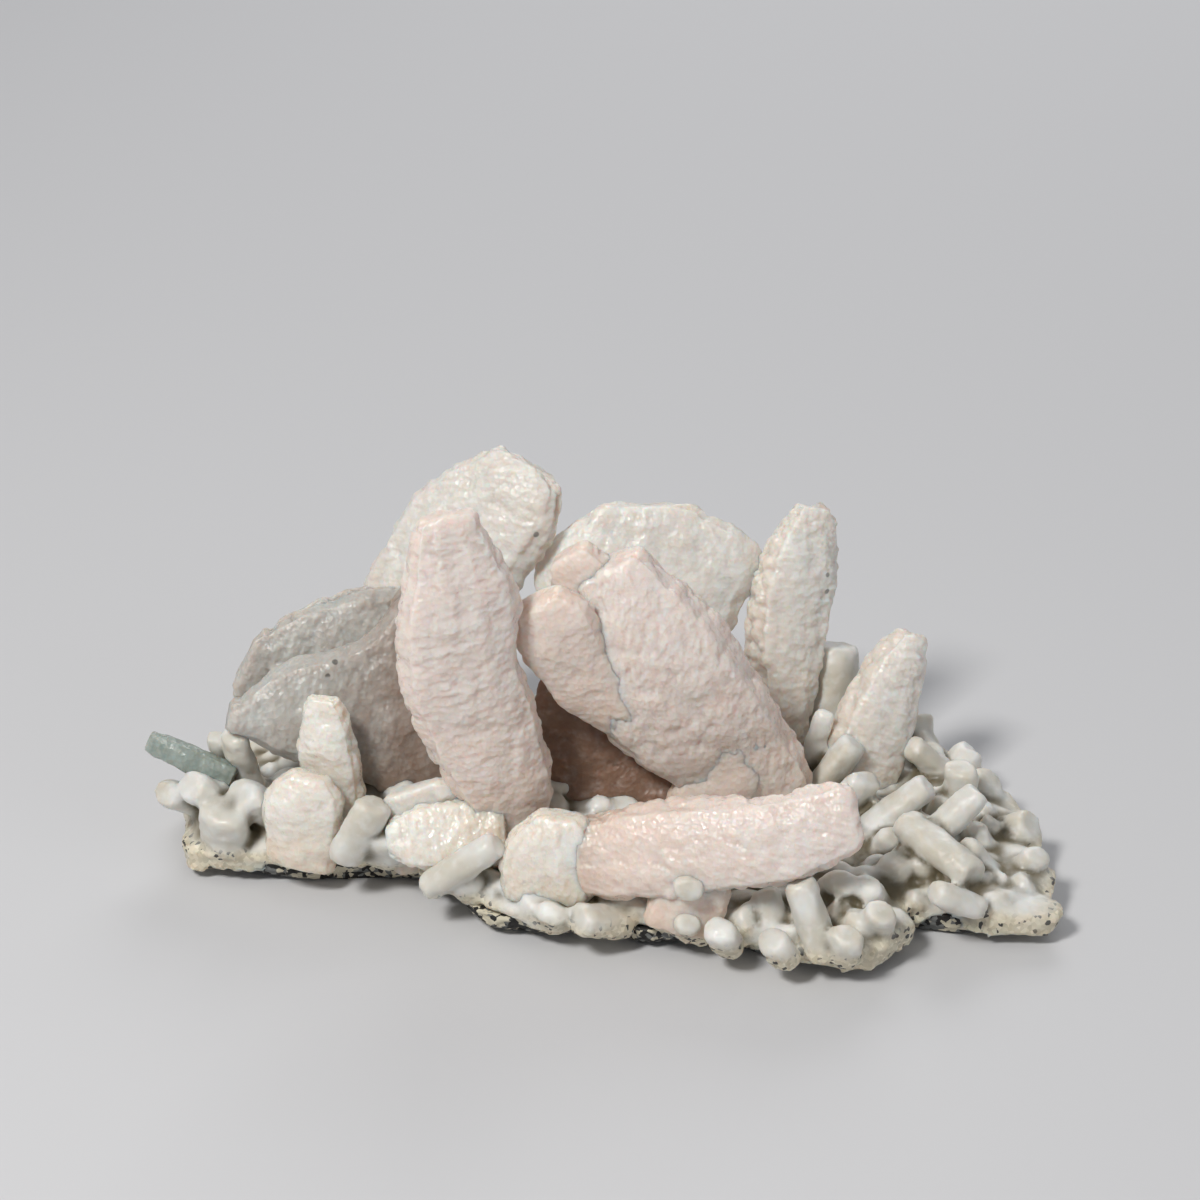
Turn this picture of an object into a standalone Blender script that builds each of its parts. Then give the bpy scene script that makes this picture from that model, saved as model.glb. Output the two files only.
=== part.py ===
"""Manganocalcite: curved lens-shaped crystals standing on a crust of small ones, on a slab of dark rock.

Every length is in millimetres in the tables below, and becomes metres when a mesh is made. X runs to
the right, Y to the back and Z up. The specimen rests on the flat underside of its rock, at Z = 0.
"""

import math
from dataclasses import dataclass

import bmesh
import bpy
import numpy as np

MM = 0.001
PLAN_CENTRE = (-0.55, 0.35)  # the middle of the specimen in the plan that the tables are written in
SEAM = 0.35  # the gap left between two crystals, or between a crystal and its socket
SEED = 20

# Plate
RIM = (
    (-71.0, 14.0), (-69.0, 3.0), (-66.0, -6.0), (-57.0, -8.5), (-46.0, -8.0), (-36.0, -8.5),
    (-29.0, -12.5), (-21.0, -19.5), (-14.0, -27.0), (-2.0, -27.5), (3.0, -25.0), (9.0, -30.0),
    (25.0, -32.5), (42.0, -37.0), (50.0, -31.0), (56.0, -25.0), (66.0, -27.5), (73.8, -19.5),
    (73.5, -6.0), (71.5, 6.0), (66.0, 18.0), (59.5, 29.0), (47.0, 36.0), (28.0, 39.0),
    (8.0, 40.0), (-12.0, 38.0), (-32.0, 38.5), (-50.0, 33.0), (-62.0, 25.0),
)
RIM_CENTRE = (0.0, 2.0)
RIM_STEPS = 48
CRUST_RINGS = (0.25, 0.5, 0.7, 0.86, 0.95, 1.0)  # shares of the way from the middle to the rim
CRUST_FLOOR = 4.6  # height of the seam between rock and crust
CRUST_LEVEL = 7.2
CRUST_SHOULDER = 0.8  # share of the way to the rim, from where the top rounds down to the lip
CRUST_ROUGHNESS = 0.45
WAVE_HEIGHT = 0.5
WAVES = ((0.31, 0.17, 0.0), (-0.11, 0.23, 1.0))  # turns per millimetre of X and of Y, and the start
MOUND_AT = (-21.0, 9.0)
MOUND_SPREAD = (22.0, 13.0)
MOUND_HEIGHT = 9.0
BACK_RISE = 3.0
BACK_RISE_OVER = 35.0  # how far back the crust goes on rising
FRONT_DROP = -0.1  # the share of that rise by which it drops in front
LIP_HEIGHT = 1.2  # of the lip's top edge over the seam
LIP_HANG = 2.6  # how far the lip hangs below the seam
LIP_UNEVEN = 0.5
LIP_SHARES = (0.985, 0.955, 0.942)  # of the lip's low edge, its inner edge, and where it meets the seam
LIP_TUCK = 0.3  # how much higher the inner edge is than the low edge
ROCK_RING = 0.5
ROCK_TOP_SHARE = 0.93  # of the way to the rim, where the rock's top edge lies
ROCK_SIDE = ((0.91, 2.2), (0.85, 0.7))
ROCK_FOOT_SHARE = 0.74  # of the way to the rim, where its flat underside ends
ROCK_UNEVEN = 0.012
BARE_ROCK_AT = ((-19.0, -21.5), (5.0, -26.0))  # where bare rock shows below the crust in front
BARE_ROCK_SPREAD = 8.0
BARE_ROCK_BULGE = 0.09
BARE_ROCK_FROM = 0.4  # how bare the rock has to be before it bulges
LIP_RETREAT = 2.5  # how fast the lip draws back as the rock gets bare

# Blades
STATIONS = (0.0, 0.15, 0.3, 0.45, 0.6, 0.75, 0.88, 0.96)
END_SHARE = 0.72  # width of the blunt end against the last station
SLIM_FROM = 0.55  # share of the length, from where a blade gets thinner towards its tip
SLIM_BY = 0.5
SECTION = (
    (-1.0, 0.15), (-0.82, 0.74), (-0.34, 1.0), (0.34, 1.0), (0.82, 0.74), (1.0, 0.15),
    (1.0, -0.3), (0.78, -0.84), (0.3, -1.0), (-0.3, -1.0), (-0.78, -0.84), (-1.0, -0.3),
)
PLAIN_SECTION = (
    (-1.0, 0.0), (-0.66, 0.85), (0.0, 1.0), (0.66, 0.85),
    (1.0, 0.0), (0.6, -0.9), (0.0, -1.0), (-0.6, -0.9),
)
PLAIN_BELOW = 40.0  # a blade shorter than this has the plain section
FACET_JITTER = 0.4


@dataclass
class Blade:
    """A lens-shaped crystal: half widths at each station from root to tip, seen on its broad face."""

    root: tuple
    tip: tuple
    left: tuple
    right: tuple
    thick: tuple  # in front of and behind the spine
    faces: tuple  # the way its broad face looks
    bow: tuple = (0.0, 0.0, 0.0)  # how far the middle of the spine is pushed off a straight line


@dataclass
class Stub:
    """A small blunt crystal, widest near its root, flattened across."""

    root: tuple
    tip: tuple
    radius: float
    flat: float = 0.8


TALL_FRONT_BLADE = Blade(
    root=(-11.5, -6.0, 4.0),
    tip=(-22.0, -13.0, 71.5),
    left=(4.0, 7.0, 10.0, 13.0, 14.0, 12.5, 9.5, 7.5),
    right=(4.5, 5.5, 7.0, 7.2, 6.0, 7.0, 5.5, 4.0),
    thick=(4.8, 5.2),
    faces=(0.25, -0.95, 0.2),
    bow=(0.0, -1.5, 0.0),
)
GREAT_BLADE = Blade(
    root=(33.0, 5.0, 10.0),
    tip=(4.5, -2.0, 59.0),
    left=(8.0, 13.0, 16.0, 18.5, 19.5, 16.0, 13.0, 10.5),
    right=(4.0, 6.0, 6.5, 7.0, 7.0, 6.0, 4.0, 3.0),
    thick=(6.0, 6.0),
    faces=(-0.12, -0.93, 0.3),
    bow=(0.0, -2.5, 0.0),
)
GREAT_BLADE_SHOULDER = Blade(
    root=(13.5, 2.5, 29.5),
    tip=(-4.0, -1.5, 58.8),
    left=(7.0, 9.0, 9.5, 9.0, 8.5, 8.0, 7.0, 5.5),
    right=(5.0, 6.0, 7.0, 7.0, 6.0, 5.0, 4.0, 3.0),
    thick=(3.6, 4.0),
    faces=(-0.25, -0.9, 0.3),
)
GREAT_BLADE_CORNER = Blade(
    root=(9.5, -0.5, 24.5),
    tip=(-10.5, -8.0, 53.0),
    left=(3.0, 5.0, 7.0, 8.5, 8.0, 7.5, 6.0, 4.5),
    right=(3.5, 4.0, 4.0, 4.5, 5.5, 7.0, 7.0, 5.5),
    thick=(4.6, 4.0),
    faces=(-0.3, -0.88, 0.3),
)
GREAT_BLADE_FOOT = Blade(
    root=(16.5, -3.0, 5.0),
    tip=(23.5, 0.0, 33.0),
    left=(5.5, 6.0, 6.5, 6.5, 6.5, 6.5, 6.0, 5.0),
    right=(6.0, 6.5, 7.0, 7.5, 7.5, 7.5, 6.0, 5.0),
    thick=(4.0, 4.5),
    faces=(0.1, -0.95, 0.2),
)
SHADED_BLADE = Blade(
    root=(4.0, -0.5, 4.0),
    tip=(3.5, 9.5, 36.5),
    left=(11.0, 12.5, 13.0, 13.5, 14.0, 13.5, 11.0, 8.0),
    right=(11.0, 14.0, 16.0, 17.0, 17.0, 16.0, 13.0, 9.0),
    thick=(2.4, 2.6),
    faces=(0.05, -0.95, 0.25),
)
HIGH_BACK_BLADE = Blade(
    root=(-42.0, 21.0, 5.0),
    tip=(-11.0, 30.0, 59.5),
    left=(7.0, 11.5, 15.0, 16.0, 16.0, 16.0, 12.0, 7.5),
    right=(6.0, 8.0, 9.5, 9.5, 9.0, 9.5, 9.5, 8.0),
    thick=(5.6, 5.0),
    faces=(-0.4, -0.82, 0.4),
)
LEFT_ARCHED_BLADE = Blade(
    root=(-22.0, 14.0, 14.0),
    tip=(-58.5, 11.5, 33.0),
    left=(8.0, 8.0, 8.0, 8.0, 8.0, 7.5, 8.0, 8.0),
    right=(11.0, 19.0, 23.0, 23.0, 20.5, 16.5, 11.0, 6.0),
    thick=(3.6, 3.8),
    faces=(-0.25, -0.9, 0.35),
)
LEFT_WEDGE = Blade(
    root=(-24.0, 6.0, 18.0),
    tip=(-60.5, 0.5, 27.0),
    left=(9.0, 9.0, 8.0, 7.5, 6.5, 5.0, 3.0, 2.5),
    right=(20.0, 30.0, 28.0, 18.5, 14.0, 11.5, 7.5, 3.5),
    thick=(4.4, 3.4),
    faces=(-0.15, -0.9, 0.35),
)
BACK_FAN_BLADE = Blade(
    root=(9.5, 18.5, 5.0),
    tip=(10.0, 30.0, 52.0),
    left=(7.0, 8.5, 10.5, 14.5, 18.5, 21.0, 17.5, 12.0),
    right=(7.0, 8.5, 10.0, 11.5, 14.5, 18.0, 16.0, 9.0),
    thick=(5.2, 5.4),
    faces=(0.08, -0.93, 0.3),
)
BACK_SPINDLE = Blade(
    root=(30.5, 20.0, 5.0),
    tip=(36.5, 32.0, 50.5),
    left=(4.0, 5.5, 6.5, 8.0, 9.0, 8.5, 6.5, 4.0),
    right=(4.0, 4.5, 5.0, 5.5, 6.0, 6.5, 5.5, 4.0),
    thick=(5.0, 5.0),
    faces=(0.4, -0.9, 0.2),
)
RIGHT_SPINDLE = Blade(
    root=(41.5, 11.0, 5.0),
    tip=(53.0, 22.0, 32.0),
    left=(5.5, 6.5, 7.0, 7.0, 6.5, 5.5, 4.0, 2.5),
    right=(6.5, 7.5, 8.0, 7.5, 6.5, 5.5, 4.5, 3.0),
    thick=(5.4, 5.2),
    faces=(0.35, -0.88, 0.35),
)
LOW_FRONT_BLADE = Blade(
    root=(-3.0, -21.5, 15.5),
    tip=(41.0, -29.0, 26.5),
    left=(5.5, 6.0, 6.5, 6.0, 5.5, 5.5, 5.5, 5.5),
    right=(8.0, 9.0, 9.5, 9.5, 9.5, 9.0, 7.5, 6.0),
    thick=(5.2, 5.6),
    faces=(0.05, -0.9, 0.4),
    bow=(0.0, -1.5, 0.0),
)
LOW_FRONT_FOOT = Blade(
    root=(13.5, -29.0, 5.0),
    tip=(16.0, -27.5, 18.0),
    left=(6.5, 6.5, 6.5, 6.0, 6.0, 5.5, 5.0, 4.0),
    right=(6.0, 6.0, 6.5, 6.5, 6.5, 6.0, 5.0, 4.0),
    thick=(3.2, 3.6),
    faces=(0.0, -0.98, 0.2),
)
FRONT_BROKEN_BLADE = Blade(
    root=(-7.0, -22.5, 6.0),
    tip=(-5.5, -22.5, 22.5),
    left=(8.5, 9.0, 9.5, 9.5, 9.0, 8.0, 6.5, 5.0),
    right=(6.0, 6.5, 7.0, 7.0, 6.5, 5.5, 4.5, 3.5),
    thick=(4.0, 4.5),
    faces=(-0.15, -0.93, 0.3),
)
UPRIGHT_CRYSTAL = Blade(
    root=(-42.5, -2.5, 4.0),
    tip=(-44.0, -5.0, 34.0),
    left=(3.5, 4.0, 4.5, 5.0, 5.6, 5.2, 4.5, 3.6),
    right=(4.5, 5.0, 5.0, 5.2, 5.0, 4.4, 3.6, 2.6),
    thick=(2.8, 2.8),
    faces=(-0.25, -0.95, 0.15),
)
PEARLY_CHUNK = Blade(
    root=(-49.5, -9.0, 5.0),
    tip=(-46.5, -8.5, 21.5),
    left=(5.0, 6.0, 6.5, 7.0, 7.0, 6.5, 5.0, 3.5),
    right=(6.5, 6.5, 6.5, 6.5, 6.5, 6.0, 5.0, 3.5),
    thick=(3.4, 2.6),
    faces=(-0.1, -0.95, 0.3),
)
LOW_ARCHED_BLADE = Blade(
    root=(-26.0, -8.5, 5.0),
    tip=(-30.0, -11.0, 20.5),
    left=(7.0, 8.0, 8.5, 9.0, 9.0, 8.5, 7.0, 5.0),
    right=(7.0, 8.0, 8.5, 9.0, 9.5, 9.0, 7.5, 5.0),
    thick=(2.2, 2.2),
    faces=(0.0, -0.85, 0.5),
)
LOW_SCALY_BLADE = Blade(
    root=(-14.5, -14.0, 13.0),
    tip=(-34.5, -15.5, 13.0),
    left=(5.0, 5.5, 5.5, 5.5, 5.5, 5.0, 4.0, 3.0),
    right=(4.5, 5.5, 6.0, 6.0, 6.0, 5.5, 4.5, 3.0),
    thick=(2.6, 2.6),
    faces=(0.0, -0.85, 0.55),
)
GREY_PRISM = Stub(root=(-60.0, 1.0, 15.0), tip=(-74.5, 3.0, 21.5), radius=2.5, flat=0.9)

BLADES = {
    "tall_front_blade": (TALL_FRONT_BLADE,),
    "great_blade": (GREAT_BLADE, GREAT_BLADE_SHOULDER, GREAT_BLADE_CORNER, GREAT_BLADE_FOOT),
    "front_broken_blade": (FRONT_BROKEN_BLADE,),
    "low_front_blade": (LOW_FRONT_BLADE, LOW_FRONT_FOOT),
    "shaded_blade": (SHADED_BLADE,),
    "left_wedge_blade": (LEFT_WEDGE,),
    "left_arched_blade": (LEFT_ARCHED_BLADE,),
    "high_back_blade": (HIGH_BACK_BLADE,),
    "back_fan_blade": (BACK_FAN_BLADE,),
    "back_spindle": (BACK_SPINDLE,),
    "right_spindle": (RIGHT_SPINDLE,),
    "upright_crystal": (UPRIGHT_CRYSTAL,),
    "pearly_chunk": (PEARLY_CHUNK,),
    "low_arched_blade": (LOW_ARCHED_BLADE,),
    "low_scaly_blade": (LOW_SCALY_BLADE,),
    "grey_prism": (GREY_PRISM,),
}

# Small crystals of the crust that stand out one by one
STUBS = (
    Stub((-41.5, -13.5, 8.0), (-35.5, -14.0, 19.5), 3.6),
    Stub((-28.0, -21.0, 7.0), (-15.5, -21.5, 16.5), 3.3),
    Stub((-36.0, -9.0, 6.0), (-34.5, -14.5, 14.0), 5.5, 0.5),
    Stub((-61.5, -4.0, 5.0), (-61.0, -8.5, 15.0), 4.4),
    Stub((-52.0, 0.0, 8.0), (-58.5, -6.5, 17.0), 3.8),
    Stub((-59.0, 3.0, 8.0), (-67.0, -5.0, 17.5), 3.6),
    Stub((-63.0, 6.0, 6.0), (-71.5, -3.0, 15.0), 3.2),
    Stub((-57.0, 6.0, 8.0), (-60.0, 0.0, 24.5), 2.8),
    Stub((-60.0, 9.0, 8.0), (-63.5, 4.0, 22.0), 2.2),
    Stub((36.0, 8.0, 7.0), (43.5, 9.0, 18.0), 4.6, 0.6),
    Stub((39.0, 2.0, 7.0), (45.0, 0.0, 16.0), 4.0, 0.6),
    Stub((61.0, 14.0, 7.0), (52.5, 12.0, 15.5), 2.9),
    Stub((61.0, 5.0, 6.0), (60.5, 3.0, 16.5), 3.2),
    Stub((44.0, -3.0, 7.0), (55.0, -2.0, 16.0), 4.2, 0.6),
    Stub((50.0, -14.0, 8.0), (62.5, -8.5, 18.5), 3.2),
    Stub((49.5, -11.5, 14.5), (60.5, -24.0, 11.5), 3.7),
    Stub((61.5, -26.5, 7.0), (53.0, -29.0, 12.0), 2.8),
    Stub((64.0, -15.0, 7.0), (59.5, -17.0, 13.5), 2.4),
    Stub((44.5, -22.0, 6.0), (42.5, -28.5, 12.5), 3.0),
    Stub((37.5, -20.0, 6.0), (39.0, -28.5, 13.5), 3.0),
    Stub((44.0, -31.0, 6.0), (44.5, -35.5, 12.5), 3.0),
    Stub((36.0, -37.0, 4.0), (31.5, -33.0, 17.0), 3.6),
    Stub((38.5, -36.5, 4.0), (39.0, -40.0, 11.0), 3.0),
    Stub((30.0, -37.0, 4.0), (27.0, -39.0, 9.5), 3.2),
    Stub((21.0, -33.0, 4.0), (19.0, -37.0, 10.0), 3.2),
    Stub((5.0, -26.0, 4.0), (-3.5, -31.0, 8.0), 3.6),
    Stub((39.5, 25.0, 8.0), (41.5, 30.0, 25.5), 5.4),
    Stub((35.5, 14.0, 8.0), (38.5, 12.5, 22.0), 2.0),
    Stub((14.5, -30.5, 14.5), (14.2, -34.5, 15.5), 2.6),
    Stub((55.0, 22.0, 7.0), (55.5, 26.5, 13.5), 3.2),
)
SCATTERED_STUBS = 20
SCATTER_CLEARANCE = 5.6
SCATTER_LENGTH = (6.0, 11.0)
SCATTER_RADIUS = (2.0, 3.4)
SCATTER_AREA = (0.12, 0.93)  # shares of the plate's area, counted from its middle
SCATTER_LEAN = 0.75
SCATTER_SUNK = 2.5
SCATTER_EDGE_SUNK = 4.0  # how much deeper a crystal at the rim is sunk
STUB_SIDES = 5
STUB_STATIONS = ((0.0, 0.95), (0.74, 1.0), (1.0, 0.52))
STUB_UNEVEN = (0.9, 1.08)
STUB_ASIDE = (0.3, 0.2, 0.9)  # a stub's flat sides are square to this and to its length
STUB_FLOOR = CRUST_FLOOR + 0.4  # no stub reaches below this

ROCK = ((0.07, 0.065, 0.06), 0.85)
CRUST = ((0.72, 0.71, 0.66), 0.45)
PINK_CALCITE = ((0.78, 0.66, 0.58), 0.38)
WHITE_CALCITE = ((0.66, 0.65, 0.60), 0.42)
GREY_CALCITE = ((0.42, 0.46, 0.42), 0.5)
FINISHES = {
    "tall_front_blade": PINK_CALCITE,
    "great_blade": PINK_CALCITE,
    "low_front_blade": PINK_CALCITE,
    "shaded_blade": PINK_CALCITE,
    "grey_prism": GREY_CALCITE,
}


def material(name, finish):
    """A Principled material of one colour and roughness."""
    colour, roughness = finish
    made = bpy.data.materials.new(name)
    made.use_nodes = True
    shader = made.node_tree.nodes["Principled BSDF"]
    shader.inputs["Base Color"].default_value = (*colour, 1.0)
    shader.inputs["Roughness"].default_value = roughness
    shader.inputs["Metallic"].default_value = 0.0
    return made


def object_from(name, points, faces):
    """A closed mesh object from points in plan millimetres, its faces turned outwards."""
    placed = np.asarray(points, float) - (*PLAN_CENTRE, 0.0)
    mesh = bpy.data.meshes.new(name)
    mesh.from_pydata((placed * MM).tolist(), [], faces)
    shape = bmesh.new()
    shape.from_mesh(mesh)
    bmesh.ops.recalc_face_normals(shape, faces=shape.faces)
    bmesh.ops.triangulate(shape, faces=shape.faces, quad_method="FIXED")
    shape.to_mesh(mesh)
    shape.free()
    made = bpy.data.objects.new(name, mesh)
    bpy.context.scene.collection.objects.link(made)
    return made


def tube_faces(rings, around):
    """Faces that join rings of points one after another, with a flat cap on each end."""
    faces = [tuple(range(around)), tuple((rings - 1) * around + i for i in range(around))]
    for ring in range(rings - 1):
        for i in range(around):
            j = (i + 1) % around
            below = ring * around
            faces.append((below + i, below + j, below + around + j, below + around + i))
    return faces


def unit(vector):
    return np.asarray(vector, float) / np.linalg.norm(vector)


def blade_object(name, blade, seed, grow=0.0):
    """A loft of many-sided sections along the blade's bowed spine, each side grown by `grow`."""
    root, tip, bow = (np.array(v) for v in (blade.root, blade.tip, blade.bow))
    reach = unit(tip - root) * grow
    root, tip = root - reach, tip + reach
    chances = np.random.default_rng(seed)
    section = np.array(PLAIN_SECTION if math.dist(blade.root, blade.tip) < PLAIN_BELOW else SECTION)
    stations = [*STATIONS, 1.0]
    points = []
    for k, s in enumerate(stations):
        last = min(k, len(STATIONS) - 1)
        share = END_SHARE if k > last else 1.0
        left, right = blade.left[last] * share + grow, blade.right[last] * share + grow
        slimming = 1.0 - SLIM_BY * max(0.0, (s - SLIM_FROM) / (1.0 - SLIM_FROM)) ** 2
        front, back = (t * slimming + grow for t in blade.thick)
        along = unit(tip - root + 4.0 * (1.0 - 2.0 * s) * bow)
        across = unit(np.cross(along, blade.faces))
        outward = np.cross(across, along)
        middle = root + (tip - root) * s + 4.0 * s * (1.0 - s) * bow
        half = (left + right) / 2.0
        sideways = (right - left) / 2.0 + half * section[:, 0]
        depth = np.where(section[:, 1] > 0, front, back) * section[:, 1]
        ring = middle + np.outer(sideways, across) + np.outer(depth, outward)
        points.append(ring + chances.uniform(-FACET_JITTER, FACET_JITTER, ring.shape))
    return object_from(name, np.concatenate(points), tube_faces(len(stations), len(section)))


def stub_object(name, stub, seed, grow=0.0):
    """A five-sided blunt crystal from its root to its tip."""
    root, tip = np.array(stub.root), np.array(stub.tip)
    along = unit(tip - root)
    root, tip = root - along * grow, tip + along * grow
    side = unit(np.cross(along, STUB_ASIDE))
    other = np.cross(along, side)
    chances = np.random.default_rng(seed)
    turn = chances.uniform(0.0, math.tau)
    angles = turn + np.arange(STUB_SIDES) * math.tau / STUB_SIDES
    uneven = chances.uniform(*STUB_UNEVEN, STUB_SIDES)
    points = []
    for s, share in STUB_STATIONS:
        radius = stub.radius * share * uneven + grow
        ring = np.outer(np.cos(angles) * radius, side)
        ring += np.outer(np.sin(angles) * (radius * stub.flat), other)
        points.append(root + (tip - root) * s + ring)
    points = np.concatenate(points)
    points[:, 2] = np.maximum(points[:, 2], STUB_FLOOR)
    return object_from(name, points, tube_faces(len(STUB_STATIONS), STUB_SIDES))


def crystal_object(name, crystal, seed, grow=0.0):
    make = blade_object if isinstance(crystal, Blade) else stub_object
    return make(name, crystal, seed, grow)


def combine(target, others, operation):
    """Joins each of the others to the target, or cuts it from the target, and removes it."""
    for other in others:
        boolean = target.modifiers.new(operation.lower(), "BOOLEAN")
        boolean.operation = operation
        boolean.solver = "EXACT"
        boolean.object = other
        graph = bpy.context.evaluated_depsgraph_get()
        result = bpy.data.meshes.new_from_object(target.evaluated_get(graph))
        target.modifiers.clear()
        target.data = result
        bpy.data.objects.remove(other)


def keep_largest_body(target):
    """Drops the loose flakes that a cut can leave."""
    shape = bmesh.new()
    shape.from_mesh(target.data)
    bodies = []
    unseen = set(shape.verts)
    while unseen:
        edge_of_search = [unseen.pop()]
        body = set(edge_of_search)
        while edge_of_search:
            vertex = edge_of_search.pop()
            for link in vertex.link_edges:
                other = link.other_vert(vertex)
                if other in unseen:
                    unseen.discard(other)
                    body.add(other)
                    edge_of_search.append(other)
        bodies.append(body)
    bodies.sort(key=len)
    for body in bodies[:-1]:
        bmesh.ops.delete(shape, geom=list(body), context="VERTS")
    shape.to_mesh(target.data)
    shape.free()


def boxes_meet(first, second):
    """Whether the bounding boxes of two objects meet."""
    corners = [np.array([tuple(v.co) for v in obj.data.vertices]) for obj in (first, second)]
    low, high = ([c.min(axis=0) for c in corners], [c.max(axis=0) for c in corners])
    return bool((low[0] < high[1]).all() and (low[1] < high[0]).all())


def cut_by(target, crystals):
    """Cuts the grown shapes of these crystals out of the target, where they come near it."""
    for crystal, seed in crystals:
        cutter = crystal_object("cutter", crystal, seed, SEAM)
        if boxes_meet(target, cutter):
            combine(target, [cutter], "DIFFERENCE")
        else:
            bpy.data.objects.remove(cutter)
    keep_largest_body(target)


def rim_points():
    """The rim as a smooth closed curve, read at equal turns about the plate's middle."""
    rim = np.array(RIM) - RIM_CENTRE
    angles = np.unwrap(np.arctan2(rim[:, 1], rim[:, 0]))
    radii = np.hypot(rim[:, 0], rim[:, 1])
    angles = np.concatenate([angles - math.tau, angles, angles + math.tau])
    radii = np.tile(radii, 3)
    at = angles[len(RIM)] + np.arange(RIM_STEPS) * math.tau / RIM_STEPS
    read = np.interp(at, angles, radii)
    return np.stack([np.cos(at) * read, np.sin(at) * read], axis=1)


def crust_height(x, y):
    """The top of the crust: level, rising to the back and to a mound under the back-left crystals."""
    across = (x - MOUND_AT[0]) / MOUND_SPREAD[0]
    back = (y - MOUND_AT[1]) / MOUND_SPREAD[1]
    mound = MOUND_HEIGHT * np.exp(-(across**2) - back**2)
    rise = BACK_RISE * np.clip(y / BACK_RISE_OVER, FRONT_DROP, 1.0)
    waves = WAVE_HEIGHT * sum(np.sin(of_x * x + of_y * y + start) for of_x, of_y, start in WAVES)
    return CRUST_LEVEL + mound + rise + waves


def bare_rock(flat):
    """How bare the rock is at these places of the plan, from 0 to 1."""
    offsets = flat[:, None, :] - np.array(BARE_ROCK_AT)
    return np.exp(-(offsets**2).sum(axis=2) / BARE_ROCK_SPREAD**2).max(axis=1)


def ring_at(rim, share, height):
    flat = rim * share + RIM_CENTRE
    return np.column_stack([flat, np.broadcast_to(height, len(flat))])


def stacked_faces(rings, around):
    """Faces of rings between a single first point and a single last point."""
    faces = []
    for i in range(around):
        j = (i + 1) % around
        faces.append((0, 1 + i, 1 + j))
        for ring in range(rings - 1):
            below = 1 + ring * around
            faces.append((below + i, below + around + i, below + around + j, below + j))
        last = 1 + (rings - 1) * around
        faces.append((last + i, 1 + rings * around, last + j))
    return faces


def crust_object(seed):
    """A sheet over the rock with a lip that hangs past the rock's edge."""
    rim = rim_points()
    chances = np.random.default_rng(seed)
    rings = []
    for share in CRUST_RINGS:
        flat = rim * share + RIM_CENTRE
        top = crust_height(flat[:, 0], flat[:, 1])
        rounding = max(0.0, (share - CRUST_SHOULDER) / (1.0 - CRUST_SHOULDER)) ** 2
        uneven = chances.uniform(-CRUST_ROUGHNESS, CRUST_ROUGHNESS, len(flat))
        rings.append(ring_at(rim, share, top + (CRUST_FLOOR + LIP_HEIGHT - top) * rounding + uneven))
    hangs = 1.0 - np.clip(LIP_RETREAT * bare_rock(rim + RIM_CENTRE), 0.0, 1.0)
    low = CRUST_FLOOR - (LIP_HANG + chances.uniform(-LIP_UNEVEN, LIP_UNEVEN, len(rim))) * hangs
    for share, height in zip(LIP_SHARES, (low, low + LIP_TUCK * hangs, CRUST_FLOOR)):
        rings.append(ring_at(rim, share, height))
    middle = np.array([[*RIM_CENTRE, crust_height(*RIM_CENTRE)]])
    under = np.array([[*RIM_CENTRE, CRUST_FLOOR]])
    points = np.concatenate([middle, *rings, under])
    return object_from("crust", points, stacked_faces(len(rings), len(rim)))


def rock_object(seed):
    """A slab with a flat underside, whose sides lean out to its top edge under the crust's lip."""
    rim = rim_points()
    chances = np.random.default_rng(seed)
    bare = np.clip(bare_rock(rim + RIM_CENTRE) - BARE_ROCK_FROM, 0.0, 1.0) / (1.0 - BARE_ROCK_FROM)
    bulge = BARE_ROCK_BULGE * bare
    top = CRUST_FLOOR - SEAM
    rings = [ring_at(rim, ROCK_RING, top)]
    for share, height in ((ROCK_TOP_SHARE, top), *ROCK_SIDE, (ROCK_FOOT_SHARE, 0.0)):
        uneven = chances.uniform(-ROCK_UNEVEN, 0.0, len(rim))
        rings.append(ring_at(rim * (share + uneven + bulge)[:, None], 1.0, height))
    middle = np.array([[*RIM_CENTRE, top]])
    under = np.array([[*RIM_CENTRE, 0.0]])
    points = np.concatenate([middle, *rings, under])
    return object_from("rock", points, stacked_faces(len(rings), len(rim)))


def scattered_stubs(taken, seed):
    """Small crystals on the rest of the crust, none nearer to another than the clearance."""
    chances = np.random.default_rng(seed)
    rim = rim_points()
    placed = [np.array(point[:2]) for point in taken]
    stubs = []
    while len(stubs) < SCATTERED_STUBS:
        on_rim = rim[chances.integers(len(rim))]
        flat = on_rim * math.sqrt(chances.uniform(*SCATTER_AREA)) + RIM_CENTRE
        lean = chances.uniform(-SCATTER_LEAN, SCATTER_LEAN, 2)
        length = chances.uniform(*SCATTER_LENGTH)
        radius = chances.uniform(*SCATTER_RADIUS)
        if min(np.linalg.norm(flat - other) for other in placed) < SCATTER_CLEARANCE:
            continue
        placed.append(flat)
        share = np.linalg.norm(flat - RIM_CENTRE) / np.linalg.norm(on_rim)
        outer = max(0.0, (share - CRUST_SHOULDER) / (1.0 - CRUST_SHOULDER))
        sunk = SCATTER_SUNK + SCATTER_EDGE_SUNK * outer
        root = np.array([*flat, max(crust_height(*flat) - sunk, STUB_FLOOR)])
        stubs.append(Stub(tuple(root), tuple(root + unit((*lean, 1.0)) * length), radius))
    return stubs


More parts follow.
